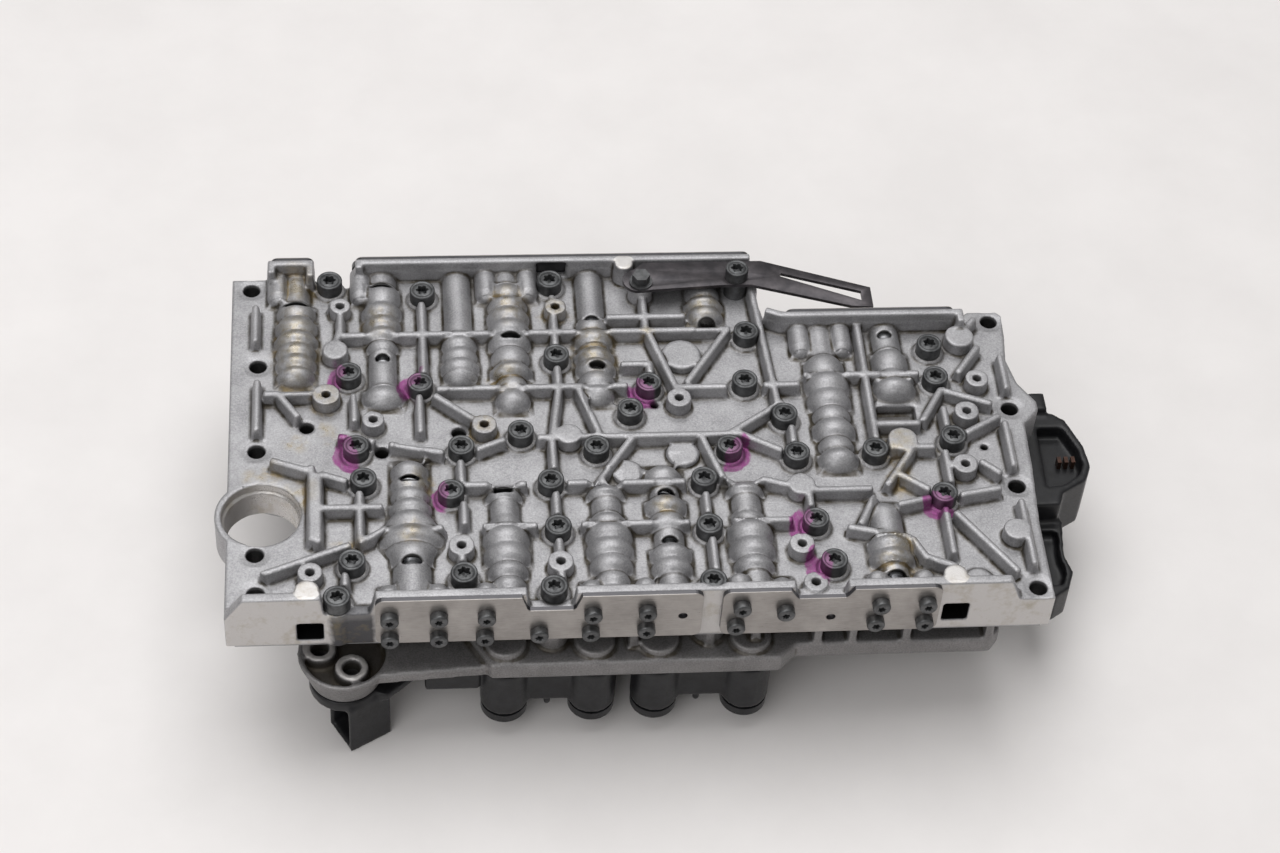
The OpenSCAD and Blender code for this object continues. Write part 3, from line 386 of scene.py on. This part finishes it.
def brushedSteel(name, look):
    mat, tree, shader, coords = newMaterial(name)
    drawn = add(tree, "Mapping", {"Scale": look["stretch"]}, {"Vector": coords}).outputs["Vector"]
    lines = noise(tree, drawn, 0.5, 4.0, 0.7).outputs["Fac"]
    clouds = noise(tree, coords, 16.0, 4.0, 0.6).outputs["Fac"]
    tone = combine(tree, "ADD", times(tree, lines, 0.4), times(tree, clouds, 0.6))
    colour = blendColour(tree, span(tree, tone, 0.35, 0.65), look["deep"], look["pale"])
    if "edge" in look:
        # cover edges darkened: painted shade
        colour = blendColour(tree, times(tree, shadedCutEdges(tree, coords), 0.9), colour, look["edge"])
    tree.links.new(colour, shader.inputs["Base Color"])
    tree.links.new(span(tree, lines, 0.3, 0.7, *look["rough"]), shader.inputs["Roughness"])
    shader.inputs["Metallic"].default_value = 0.85
    bump(tree, shader, lines, 0.2, 0.03)
    return mat


def darkFinish(name, pale, deep, rough, metal, grain, gloss=0.5, paint=None):
    mat, tree, shader, coords = newMaterial(name)
    cloud = noise(tree, coords, grain * 6, 4.0, 0.6).outputs["Fac"]
    fine = noise(tree, coords, grain, 2.0, 0.6).outputs["Fac"]
    colour = blendColour(tree, span(tree, cloud, 0.35, 0.65), deep, pale)
    if paint:
        colour = blendColour(tree, times(tree, paintMarks(tree, coords), 0.5), colour, paint)
    tree.links.new(colour, shader.inputs["Base Color"])
    tree.links.new(span(tree, fine, 0.3, 0.7, *rough), shader.inputs["Roughness"])
    shader.inputs["Metallic"].default_value = metal
    shader.inputs["Specular IOR Level"].default_value = gloss
    bump(tree, shader, fine, 0.25, grain * 0.08)
    return mat


# the lower housing's cast look, made darker as painted shade
shadedLowerLook = {
    **castLook, "pale": (0.27, 0.262, 0.262), "deep": (0.155, 0.15, 0.15), "wornAndLitEdge": (0.36, 0.35, 0.35)}
plateLook = {**steelLook, "pale": (0.36, 0.36, 0.365), "deep": (0.25, 0.25, 0.255)}
brightLook = {**steelLook, "pale": (0.66, 0.67, 0.69), "deep": (0.5, 0.5, 0.52)}
castUpper = castAluminium("castUpper", castLook, True)
castLowerShaded = castAluminium("castLowerShaded", shadedLowerLook, False)
# the edge colour is painted shade along the covers' edges
coverSteel = brushedSteel("coverSteel", {**steelLook, "edge": (0.06, 0.06, 0.068)})
plateSteel = brushedSteel("plateSteel", plateLook)
brightSteel = brushedSteel("brightSteel", brightLook)
darkLooks = {  # pale and deep colour, roughness, metal, grain in mm, gloss, paint
    "screwBlack": (
        (0.12, 0.122, 0.125), (0.055, 0.056, 0.058), (0.34, 0.5), 0.75, 0.6, 0.5, castLook["paint"]),
    "boltBlack": ((0.14, 0.142, 0.145), (0.07, 0.071, 0.073), (0.32, 0.48), 0.75, 0.6),
    "bluedSteel": ((0.088, 0.08, 0.085), (0.045, 0.042, 0.046), (0.33, 0.46), 0.7, 1.2),
    "modulePlastic": ((0.016, 0.016, 0.018), (0.008, 0.008, 0.009), (0.3, 0.44), 0.0, 0.8, 0.32),
    "casePlastic": ((0.03, 0.03, 0.032), (0.018, 0.018, 0.02), (0.45, 0.6), 0.0, 0.8, 0.35),
    "solenoidBlack": ((0.018, 0.018, 0.02), (0.009, 0.009, 0.01), (0.25, 0.4), 0.0, 0.8, 0.32),
    "contactCopper": ((0.085, 0.042, 0.03), (0.04, 0.022, 0.016), (0.35, 0.5), 0.7, 0.8)}
dark = {name: darkFinish(name, *look) for name, look in darkLooks.items()}
finishes = {
    "cast_upper": castUpper, "cast_lower": castLowerShaded, "plate_steel": plateSteel, "cover_steel": coverSteel,
    "screw_steel": dark["screwBlack"], "bolt_steel": dark["boltBlack"], "blued_steel": dark["bluedSteel"],
    "bright_steel": brightSteel, "module_plastic": dark["modulePlastic"],
    "case_plastic": dark["casePlastic"], "solenoid_black": dark["solenoidBlack"],
    "contact_copper": dark["contactCopper"]}
slotOf = {s["node"]: s["material_slot"] for s in frame["record"]["subparts"]}
for nodeName, solid in frame["nodes"].items():
    solid.data.materials.clear()
    solid.data.materials.append(finishes[slotOf[nodeName]])
print("finishes:", len(finishes))


screwLook = {
    "segments": 48, "edge": 0.55, "lobe": 0.15, "mouth": 0.22, "groove": (0.80, 0.74, 0.68), "depth": 0.16,
    "head": 5.5, "grimeAndShade": 0.2, "reach": 1.5, "sharp": 40}


# pieces made from the solids

def newPiece(name, mesh, slotName, nodeName=None, smooth=True):
    # a piece of the housing's body, which may stand for a node
    piece = bpy.data.objects.new(name, mesh)
    bpy.context.scene.collection.objects.link(piece)
    mesh.materials.clear()
    mesh.materials.append(finishes[slotName])
    mesh.polygons.foreach_set("use_smooth", np.full(len(mesh.polygons), smooth))
    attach(piece, "housing")
    if nodeName:
        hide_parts(nodeName)
    return piece


def closedMesh(name, points, faces, sharpAngle=None):
    # points and faces with poles merged and faces turned outwards
    mesh = bpy.data.meshes.new(name)
    mesh.from_pydata(points.tolist(), [], faces)
    form = bmesh.new()
    form.from_mesh(mesh)
    bmesh.ops.remove_doubles(form, verts=form.verts, dist=1e-7)
    bmesh.ops.recalc_face_normals(form, faces=form.faces)
    form.to_mesh(mesh)
    form.free()
    if sharpAngle:
        mesh.set_sharp_from_angle(angle=math.radians(sharpAngle))
    return mesh


def weldedCopy(nodeName, flatten=False):
    form = bmesh.new()
    form.from_mesh(frame["nodes"][nodeName].data)
    bmesh.ops.remove_doubles(form, verts=form.verts, dist=1e-6)
    if flatten:
        bmesh.ops.dissolve_limit(form, angle_limit=math.radians(1.0), verts=form.verts, edges=form.edges)
    mesh = bpy.data.meshes.new(nodeName + "_form")
    form.to_mesh(mesh)
    form.free()
    return mesh


def settled(mesh, *steps):
    # mesh after a row of modifiers, each given as its kind and its settings
    holder = bpy.data.objects.new("holder", mesh)
    bpy.context.scene.collection.objects.link(holder)
    for kind, settings in steps:
        modifier = holder.modifiers.new(kind, kind)
        for key, value in settings.items():
            setattr(modifier, key, value)
    graph = bpy.context.evaluated_depsgraph_get()
    result = bpy.data.meshes.new_from_object(holder.evaluated_get(graph))
    bpy.data.objects.remove(holder)
    return result


def relaxed(points, edges, weight, rounds):
    # each point goes part of the way to the mean of its neighbours
    start, end = np.concatenate([edges, edges[:, ::-1]]).T
    count = np.bincount(start, minlength=len(points))[:, None]
    for _ in range(rounds):
        sums = [np.bincount(start, points[end, k], minlength=len(points)) for k in range(3)]
        total = np.stack(sums, axis=1)
        points = points + weight[:, None] * (total / count - points)
    return points


def solidBoxes(nodeName):
    # low and high corner of each separate solid of a node: labels spread along triangles until they settle
    mesh = frame["nodes"][nodeName].data
    points = np.empty(len(mesh.vertices) * 3)
    mesh.vertices.foreach_get("co", points)
    corners = np.empty(len(mesh.loops), dtype=np.int64)
    mesh.loops.foreach_get("vertex_index", corners)
    points, same = np.unique(points.reshape(-1, 3).round(7), axis=0, return_inverse=True)
    triangles = same.ravel()[corners].reshape(-1, 3)
    labels = np.arange(len(points))
    while True:
        lowest = labels[triangles].min(axis=1)
        spread = labels.copy()
        np.minimum.at(spread, triangles.ravel(), np.repeat(lowest, 3))
        if (spread == labels).all():
            break
        labels = spread
    groups = [points[labels == label] for label in np.unique(labels)]
    return [(group.min(axis=0), group.max(axis=0)) for group in groups]


def screwFeet(points, fold):
    # grime and painted shade round each head on its seat: highest at the head's rim, gone after the reach
    for low, high in solidBoxes("housing_screws"):
        middle, head = (low + high) / 2, (high - low)[:2].max() / 2
        away = (np.hypot(*(points[:, :2] - middle[:2]).T) - head) / mm
        seat = np.abs(points[:, 2] - high[2] + screwLook["head"] * mm) < 1.6 * mm
        ring = screwLook["grimeAndShade"] * np.clip(1 - np.abs(away) / screwLook["reach"], 0, 1)
        fold = np.where(seat & (away < 2.5), np.maximum(fold, ring), fold)
    return fold


def castSkin(name, nodeName, cell, rounds, triangles, shape=None):
    # the solid's own walls in small cells, relaxed so that edges and feet get a cast radius
    size = cell * 1.0 * mm
    cells = settled(
        weldedCopy(nodeName), ("REMESH", {"mode": "VOXEL", "voxel_size": size, "adaptivity": 0.0}))
    points, normals = np.empty(len(cells.vertices) * 3), np.empty(len(cells.vertices) * 3)
    edges = np.empty(len(cells.edges) * 2, dtype=np.int32)
    cells.vertices.foreach_get("co", points)
    cells.vertex_normals.foreach_get("vector", normals)
    cells.edges.foreach_get("vertices", edges)
    points, normals, edges = points.reshape(-1, 3), normals.reshape(-1, 3), edges.reshape(-1, 2)
    half = np.full(len(points), 0.5)
    even = relaxed(points, edges, half, 2)
    smooth = relaxed(even, edges, half, rounds)
    far = relaxed(smooth, edges, half, 9)
    fold = ((far - points) * normals).sum(axis=1) / mm  # how far a corner is filled or worn away
    if shape is not None:
        fold = screwFeet(points, fold)
    result, growth = (smooth, None) if shape is None else shape(even, smooth, edges)
    if growth is not None:  # ribs are thickened along their own normals
        result = result + normals * relaxed(growth[:, None].repeat(3, 1), edges, half, 3)
    cells.vertices.foreach_set("co", result.ravel())
    cells.attributes.new("fold", "FLOAT", "POINT").data.foreach_set("value", fold.astype(np.float32))
    whole = len(cells.polygons) * 2
    ratio = min(1.0, triangles / whole)
    thinned = settled(cells, ("DECIMATE", {"ratio": ratio, "use_collapse_triangulate": True}))
    print(name, "cells", whole, "kept", len(thinned.polygons))
    piece = newPiece(name, thinned, slotOf[nodeName], nodeName)
    piece.modifiers.new("flats", "WEIGHTED_NORMAL").keep_sharp = False


shellLook = {
    "axis": 15.0, "pitch": 7.0, "depth": 2.0, "plain": 6.1, "rounds": 9, "dome": 6.0, "swell": 0.28,
    "postRadius": 4.0, "postDome": 3.5}
valveShells = [  # lying valve shells: x, then places along y where a radius starts; the last ends the shell
    (24, [(109, 7.6), (117, 8), (129, 8.6), (135, 8.2), (143, 7.6), (151, 5.4), (167, 0)]),
    (57, [(97, 7), (107, 5.4), (126, 6.2), (131, 7.6), (143, 8), (150, 7.5), (160, 6), (167, 0)]),
    (86.5, [(108, 7), (114, 7.6), (120, 7), (132, 5.5), (167, 0)]),
    (106, [
        (94, 7), (104, 6.4), (111, 8.4), (117, 7.5), (126, 8.5), (146, 8), (152, 7), (160, 5.4), (167, 0)]),
    (138.5, [(97, 7), (105, 7.2), (112, 8), (124, 7), (127, 7.8), (134, 6.2), (141, 5.4), (167, 0)]),
    (183, [(136, 7), (140, 7.5), (145, 8), (150, 7), (167, 0)]),
    (227, [(61, 8), (70, 7), (77, 8.4), (85, 7.5), (92, 8.6), (100, 8.9), (108, 8), (118, 5.6), (135, 0)]),
    (253, [(96, 8.6), (105, 6.6), (111, 7.2), (121, 5.6), (135, 0)]),
    (66, [(2, 7), (21, 8), (30, 9), (37, 8.6), (44, 8), (50, 7.2), (62, 7.2), (71, 0)]),
    (100.5, [(2, 6.4), (14, 7.5), (20, 8.6), (36, 6), (41, 5.4), (50, 7), (57, 0)]),
    (138, [(2, 6.6), (15, 8), (22, 8.8), (36, 7), (42, 5.6), (50, 7.4), (57, 0)]),
    (160, [(2, 5.4), (13, 7.6), (20, 8), (26, 5.6), (34, 7), (42, 8), (49, 5.6), (57, 7.2), (66, 0)]),
    (190, [(2, 5.6), (14, 7.6), (20, 8.6), (36, 6.4), (42, 5.6), (50, 7.4), (57, 0)]),
    (241, [(2, 5.6), (15, 8.6), (27, 6.2), (46, 0)])]


plainParts = [(66, 2, 21), (241, 27, 46)]  # stretches of shells without rings: x, y, y
# shells that spread at the foot: x, y, half length, spread
skirts = [(66, 33.5, 8.5, 3.6), (57, 102, 7, 1.6)]
boltPosts = [  # lying posts behind the covers: x, height of the axis, blind end
    (17, 17.4, 152), (49, 17.4, 152), (98, 17.4, 152), (114, 17.4, 152), (219, 17.4, 120), (235, 17.4, 120),
    (57.5, 17.4, 12), (75, 17.4, 12), (92, 17.4, 12), (130, 17.4, 12), (149.5, 18, 12), (183.5, 19, 12),
    (199.5, 16, 12), (234, 18.5, 12), (251, 18.5, 12)]


def domed(points, layout, axisX, axisZ, radius, end, way, dome):
    # blind end of a lying cylinder as half an ellipse: its disc falls back by
    # dome * (1 - sqrt(1 - (a / r)^2)), and its wall narrows to r * sqrt(1 - (1 - d / dome)^2)
    # at the depth d from the end
    x, y, z = layout.T
    away, depth = np.hypot(x - axisX, z - axisZ), (y - end) * way
    share = np.clip(away / radius, 0.0, 0.995)
    disc = (np.abs(depth) < 0.35) & (away < radius + 0.2) & (z > floorLevel + 0.3)
    wall = (depth >= 0.35) & (depth < dome) & (np.abs(away - radius) < 0.7) & (z > floorLevel + 0.3)
    points[disc, 1] += (dome * (1 - np.sqrt(1 - share ** 2)) * way * mm)[disc]
    narrow = np.sqrt(np.clip(1 - (1 - np.clip(depth / dome, 0, 1)) ** 2, 0.01, 1))
    points[wall, 0] += ((x - axisX) * (narrow - 1) * mm)[wall]
    points[wall, 2] += ((z - axisZ) * (narrow - 1) * mm)[wall]
    return disc | wall | ((away < radius + 1.0) & (np.abs(depth) < dome) & (z > floorLevel + 0.3))


def ringedShells(even, smooth, edges):
    # shells swell into rings: radius less depth times one minus a half circle over each ring's width,
    # then they are relaxed further than the rest; holes below the floor and in bosses keep crisp edges
    look = shellLook
    layout = (even - np.array(layoutStart)) / mm
    x, y, z = layout.T
    crisp = np.clip((floorLevel - 0.1 - z) / 0.3, 0.0, 1.0)
    for bossX, bossY, top in bossPlaces:
        crisp = np.maximum(crisp, np.hypot(x - bossX, y - bossY) < top / 2 + 0.3)
    points = smooth * (1 - crisp[:, None]) + even * crisp[:, None]
    near = np.zeros(len(points), dtype=bool)
    for axisX, steps in valveShells:
        begins, radii = np.array(steps).T
        index = np.clip(np.searchsorted(begins, y, side="right") - 1, 0, len(steps) - 2)
        low, high, radius = begins[index], begins[index + 1], radii[index]
        away = np.hypot(x - axisX, z - look["axis"])
        on = np.clip(1.3 - np.abs(away - radius) / 1.1, 0.0, 1.0)
        on = on * (z > floorLevel + 0.3) * (y > begins[0] - 0.6) * (y < begins[-1] + 0.6)
        count = np.maximum(1, np.round((high - low) / look["pitch"]))
        across = 2 * np.modf(np.clip((y - low) / (high - low), 0, 0.999) * count)[0] - 1
        swell = np.sqrt(np.clip(1 - across ** 2, 0, 1))
        bare = np.any([(axisX == part[0]) & (y > part[1]) & (y < part[2]) for part in plainParts], axis=0)
        rear = begins[0] > 20
        # the domed end has no ring
        bare |= y < begins[0] + look["dome"] if rear else y > begins[-1] - look["dome"]
        inward = look["depth"] * (1 - swell) * on * (radius > look["plain"]) * ~bare
        change = (inward * mm / np.maximum(away, 0.1))[:, None]
        points = points - change * np.stack([x - axisX, 0 * x, z - look["axis"]], axis=1)
        end, endRadius, way = (begins[0], radii[0], 1) if rear else (begins[-1], radii[-2], -1)
        near |= domed(points, layout, axisX, look["axis"], endRadius, end, way, look["dome"])
        beside = (away < radius + 1.6) & (z > floorLevel + 0.2)
        near |= beside & (y > begins[0] - 1.5) & (y < begins[-1] + 1.5)
    for axisX, middle, half, spread in skirts:
        # sideways by spread times a parabola along y, less with the height, fading 5 mm beyond the shell
        side = np.abs(x - axisX)
        along = np.clip(1 - ((y - middle) / half) ** 2, 0, 1)
        low = np.clip(1 - (z - floorLevel) / 8.5, 0, 1)
        fade = np.clip(side / 5, 0, 1) * np.clip(1 - (side - 8.6) / 5, 0, 1) * (z > floorLevel - 0.4)
        points[:, 0] += np.sign(x - axisX) * spread * along * low * fade * mm
    for axisX, axisZ, end in boltPosts:
        way = 1 if end > 20 else -1
        near |= domed(points, layout, axisX, axisZ, look["postRadius"], end, way, look["postDome"])
    grown = (z > floorLevel + 0.4) & (z < floorLevel + 5.9) & ~near & (crisp < 0.5) & (y > 4.5)
    points = relaxed(points, edges, 0.5 * near, look["rounds"])
    return points, grown * look["swell"] * mm


def softEdges(name, nodeName, width, steps=2, smooth=True):
    # the solid with its sharp edges broken
    mesh = weldedCopy(nodeName, flatten=True)
    piece = newPiece(name, mesh, slotOf[nodeName], nodeName, smooth)
    edge = piece.modifiers.new("edge", "BEVEL")
    edge.width = width * mm
    edge.segments = steps
    edge.limit_method = "ANGLE"
    edge.angle_limit = math.radians(35)
    edge.harden_normals = smooth


castSkin("castUpperHousing", "upper_valve_housing", 0.5, 7, 195000, ringedShells)
castSkin("castLowerHousing", "lower_valve_housing", 0.7, 4, 90000)
castSkin("mouldedModule", "control_module", 0.7, 3, 70000)
covers = (
    "front_cover_left", "front_cover_right", "rear_cover_left", "rear_cover_middle", "rear_cover_right")
for nodeName in covers:
    softEdges(nodeName + "_plate", nodeName, 0.3, 2, False)  # flat shading keeps the faces even
softEdges("bluedLeaf", "detent_leaf_spring", 0.2)
softEdges("caseShell", "electronics_case", 1.5, 3)


# screws

def lathed(rings, segments):
    # grid of rings, each an array of radii over the angle with one height, closed round the axis
    angle = np.linspace(0.0, 2 * math.pi, segments, endpoint=False)
    radius = np.stack([np.broadcast_to(ring, segments) for ring, height in rings])
    height = np.array([height for ring, height in rings])[:, None] + 0 * radius
    points = np.stack([radius * np.cos(angle), radius * np.sin(angle), height], axis=-1)
    row, column = np.meshgrid(np.arange(len(rings) - 1), np.arange(segments), indexing="ij")
    here, after = row * segments + column, row * segments + (column + 1) % segments
    faces = np.stack([here, after, after + segments, here + segments], axis=-1)
    return points.reshape(-1, 3), faces.reshape(-1, 4)


def capScrew(look, headD, headH, shankD, length, socketD):
    # shank, rounded head, shallow ring in its face and a six lobed socket, sizes in mm and seat at height 0
    angle = np.linspace(0.0, 2 * math.pi, look["segments"], endpoint=False)
    lobes = socketD / 2 * (1 - look["lobe"] + look["lobe"] * np.cos(6 * angle))
    head, edge = headD / 2, look["edge"]
    outer, middle, inner = (share * head for share in look["groove"])
    bend = np.linspace(math.pi / 2, 0, 5)
    rounded = [(head - edge * (1 - math.sin(a)), headH - edge * (1 - math.cos(a))) for a in bend]
    rings = [(0.0, -length), (shankD / 2, -length), (shankD / 2, 0.0), (head - 0.2, 0.0), (head, 0.2)]
    rings += rounded
    rings += [(outer, headH), (middle, headH - look["depth"]), (inner, headH)]
    rings += [(lobes + look["mouth"], headH), (lobes, headH - look["mouth"]), (lobes, headH * 0.45)]
    rings += [(lobes * 0.5, headH * 0.4), (0.0, headH * 0.4)]
    return lathed([(np.asarray(r), h) for r, h in rings], look["segments"])


goldenAngle = 2.399963


def screwGroup(name, nodeName, look, axis, headShare, shankShare):
    # one lathed screw on each solid of the group, turned by the golden angle from one to the next
    allPoints, allFaces, count, headH = [], [], 0, look["head"]
    toAxis = Vector((0, 0, 1)).rotation_difference(Vector(axis)).to_matrix()
    along = int(np.argmax(np.abs(axis)))
    for index, (low, high) in enumerate(solidBoxes(nodeName)):
        size, middle = (high - low) / mm, (low + high) / 2
        headD = np.delete(size, along).max()
        shankD, length = headD * shankShare, size[along] - headH
        points, faces = capScrew(look, headD, headH, shankD, length, headD * headShare)
        turn = Matrix.Rotation(index * goldenAngle, 3, "Z")
        points = points @ np.array(toAxis @ turn).T * mm
        seat = middle.copy()
        seat[along] = high[along] - headH * mm if axis[along] > 0 else low[along] + headH * mm
        allPoints.append(points + seat)
        allFaces.append(faces + count)
        count += len(points)
    mesh = closedMesh(name, np.concatenate(allPoints), np.concatenate(allFaces).tolist(), look["sharp"])
    newPiece(name, mesh, slotOf[nodeName], nodeName)


leafLook = {**screwLook, "head": 5.0}
boltLook = {
    **screwLook, "head": 3.25, "edge": 0.8, "groove": (0.84, 0.80, 0.76), "depth": 0.08, "mouth": 0.15}
screwGroup("capScrews", "housing_screws", screwLook, (0, 0, 1), 0.49, 0.59)
screwGroup("leafScrew", "leaf_screw", leafLook, (0, 0, 1), 0.53, 0.55)
screwGroup("frontCoverScrews", "front_cover_bolts", boltLook, (0, -1, 0), 0.46, 0.57)
screwGroup("rearCoverScrews", "rear_cover_bolts", boltLook, (0, 1, 0), 0.46, 0.57)
screwGroup("moduleScrews", "module_screws", boltLook, (0, 0, -1), 0.46, 0.57)
print("screws done")

# cast beads over the two screws beside the rear wall

beadLook = {
    "radius": 4.2, "round": 1.5, "segments": 48, "sharp": 40, "lower": [(37, 161), (123, 160)],
    "upper": [(37, 161)]}


def castBead(name, slotName, spot, low, high, look):
    # upright cylinder with a rounded lower end: radius r * sin(a) at the height low - round * cos(a)
    angle = np.linspace(0, math.pi / 2, 7)
    rings = [(look["radius"] * mm * math.sin(a), low - look["round"] * mm * math.cos(a)) for a in angle]
    rings += [(look["radius"] * mm, high), (0.0, high)]
    points, faces = lathed([(np.asarray(r), h) for r, h in rings], look["segments"])
    points = points + np.array([*place(*spot).xy, 0.0])
    newPiece(name, closedMesh(name, points, faces.tolist(), look["sharp"]), slotName)


plateLow, plateHigh = (corner.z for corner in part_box("separator_plate"))
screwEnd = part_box("housing_screws")[0].z
for index, spot in enumerate(beadLook["lower"]):
    castBead("lowerBead_%d" % index, "cast_lower", spot, screwEnd, plateLow, beadLook)
upperLow = plateHigh + 1.6 * mm  # the rounded end stays clear of the plate
for index, spot in enumerate(beadLook["upper"]):
    castBead("upperBead_%d" % index, "cast_upper", spot, upperLow, heightAt(floorLevel), beadLook)
print("beads done")

# return springs

springLook = {"wire": 0.9, "turns": 6, "steps": 24, "sides": 10, "close": 1.05}


def coilSpring(index, look):
    # round wire carried along a helix about y: the end turns lie close, those between share the rest
    nodeName, joint = "spring_%d" % index, "spool_%d_slide" % index
    low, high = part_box(nodeName)
    wire, turns, sides = look["wire"] * mm / 2, look["turns"], look["sides"]
    radius, length = (high.x - low.x) / 2 - wire, high.y - low.y - 2 * wire
    middle, closed = (low + high) / 2, 2 * wire * look["close"]
    turn = np.linspace(0, turns, turns * look["steps"] + 1)
    rise = np.interp(turn, [0, 1, turns - 1, turns], [0, closed, length - closed, length])
    outward = np.stack([np.cos(2 * math.pi * turn), 0 * turn, np.sin(2 * math.pi * turn)], axis=1)
    start = np.array([middle.x, low.y + wire, middle.z])
    path = start + radius * outward + np.stack([0 * turn, rise, 0 * turn], axis=1)
    around = np.linspace(0, 2 * math.pi, sides, endpoint=False)[:, None]
    section = np.cos(around) * outward[:, None] + np.sin(around) * np.array([0.0, 1.0, 0.0])
    points = (path[:, None] + wire * section).reshape(-1, 3)
    row, column = np.meshgrid(np.arange(len(turn) - 1), np.arange(sides), indexing="ij")
    here, after = row * sides + column, row * sides + (column + 1) % sides
    faces = np.stack([here, after, after + sides, here + sides], axis=-1).reshape(-1, 4).tolist()
    faces += [list(range(sides)), list(range(len(points) - sides, len(points)))]
    mesh = closedMesh(nodeName + "_coil", points, faces)
    piece = newPiece(nodeName + "_coil", mesh, slotOf[nodeName], nodeName)
    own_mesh(piece)


for index in range(1, 15):
    coilSpring(index, springLook)
print("springs done")

# stage, light and camera

stageLook = {"pale": (0.80, 0.775, 0.765), "deep": (0.76, 0.735, 0.725), "rough": 0.55, "half": 3.0}
floorMaterial, floorTree, floorShader, floorCoords = newMaterial("tableTop")
tint = noise(floorTree, floorCoords, 60.0, 5.0, 0.6).outputs["Fac"]
tint = span(floorTree, tint, 0.35, 0.65)
tableColour = blendColour(floorTree, tint, stageLook["deep"], stageLook["pale"])
floorTree.links.new(tableColour, floorShader.inputs["Base Color"])
floorShader.inputs["Roughness"].default_value = stageLook["rough"]
floorMesh = bpy.data.meshes.new("tableTop")
side = stageLook["half"]
corners = [(-side, -side, 0), (side, -side, 0), (side, side, 0), (-side, side, 0)]
floorMesh.from_pydata(corners, [], [(0, 1, 2, 3)])
table = bpy.data.objects.new("tableTop", floorMesh)
floorMesh.materials.append(floorMaterial)
bpy.context.scene.collection.objects.link(table)

lamps = [  # name, place, size, power
    ("skyPanel", (-0.1, 0.4, 1.7), 1.6, 23.0),
    ("frontPanel", (-0.8, -1.2, 1.3), 1.2, 10.0)]
for name, spot, size, power in lamps:
    data = bpy.data.lights.new(name, "AREA")
    data.shape = "SQUARE"
    data.size = size
    data.energy = power
    lamp = bpy.data.objects.new(name, data)
    lamp.location = spot
    lamp.rotation_euler = (Vector((0, 0, 0.05)) - Vector(spot)).to_track_quat("-Z", "Y").to_euler()
    bpy.context.scene.collection.objects.link(lamp)

roomLook = {"low": (0.55, 0.545, 0.54), "high": (1.0, 0.99, 0.98), "strength": 0.42}
world = bpy.data.worlds.new("softRoom")
bpy.context.scene.world = world
world.use_nodes = True
sky = world.node_tree
direction = add(sky, "TexCoord").outputs["Generated"]
upward = add(sky, "SeparateXYZ", None, {0: direction}).outputs["Z"]
room = blendColour(sky, span(sky, upward, -0.1, 0.9), roomLook["low"], roomLook["high"])
sky.links.new(room, sky.nodes["Background"].inputs["Color"])
sky.nodes["Background"].inputs["Strength"].default_value = roomLook["strength"]

eye = {"place": (55.37, -621.82, 822.24), "heading": 7.89, "pitch": 48.4, "roll": 4.76, "lens": 80.0}
cameraData = bpy.data.cameras.new("eye")
cameraData.lens = eye["lens"]
cameraData.sensor_width = 36.0
camera = bpy.data.objects.new("eye", cameraData)
bpy.context.scene.collection.objects.link(camera)
turned = Matrix.Rotation(math.radians(-eye["heading"]), 4, "Z")
tipped = Matrix.Rotation(math.radians(90 - eye["pitch"]), 4, "X")
rolled = Matrix.Rotation(math.radians(eye["roll"]), 4, "Z")
camera.matrix_world = Matrix.Translation(place(*eye["place"])) @ turned @ tipped @ rolled
bpy.context.scene.camera = camera
bpy.context.scene.view_settings.view_transform = "Standard"
print("stage, lamps and camera done")
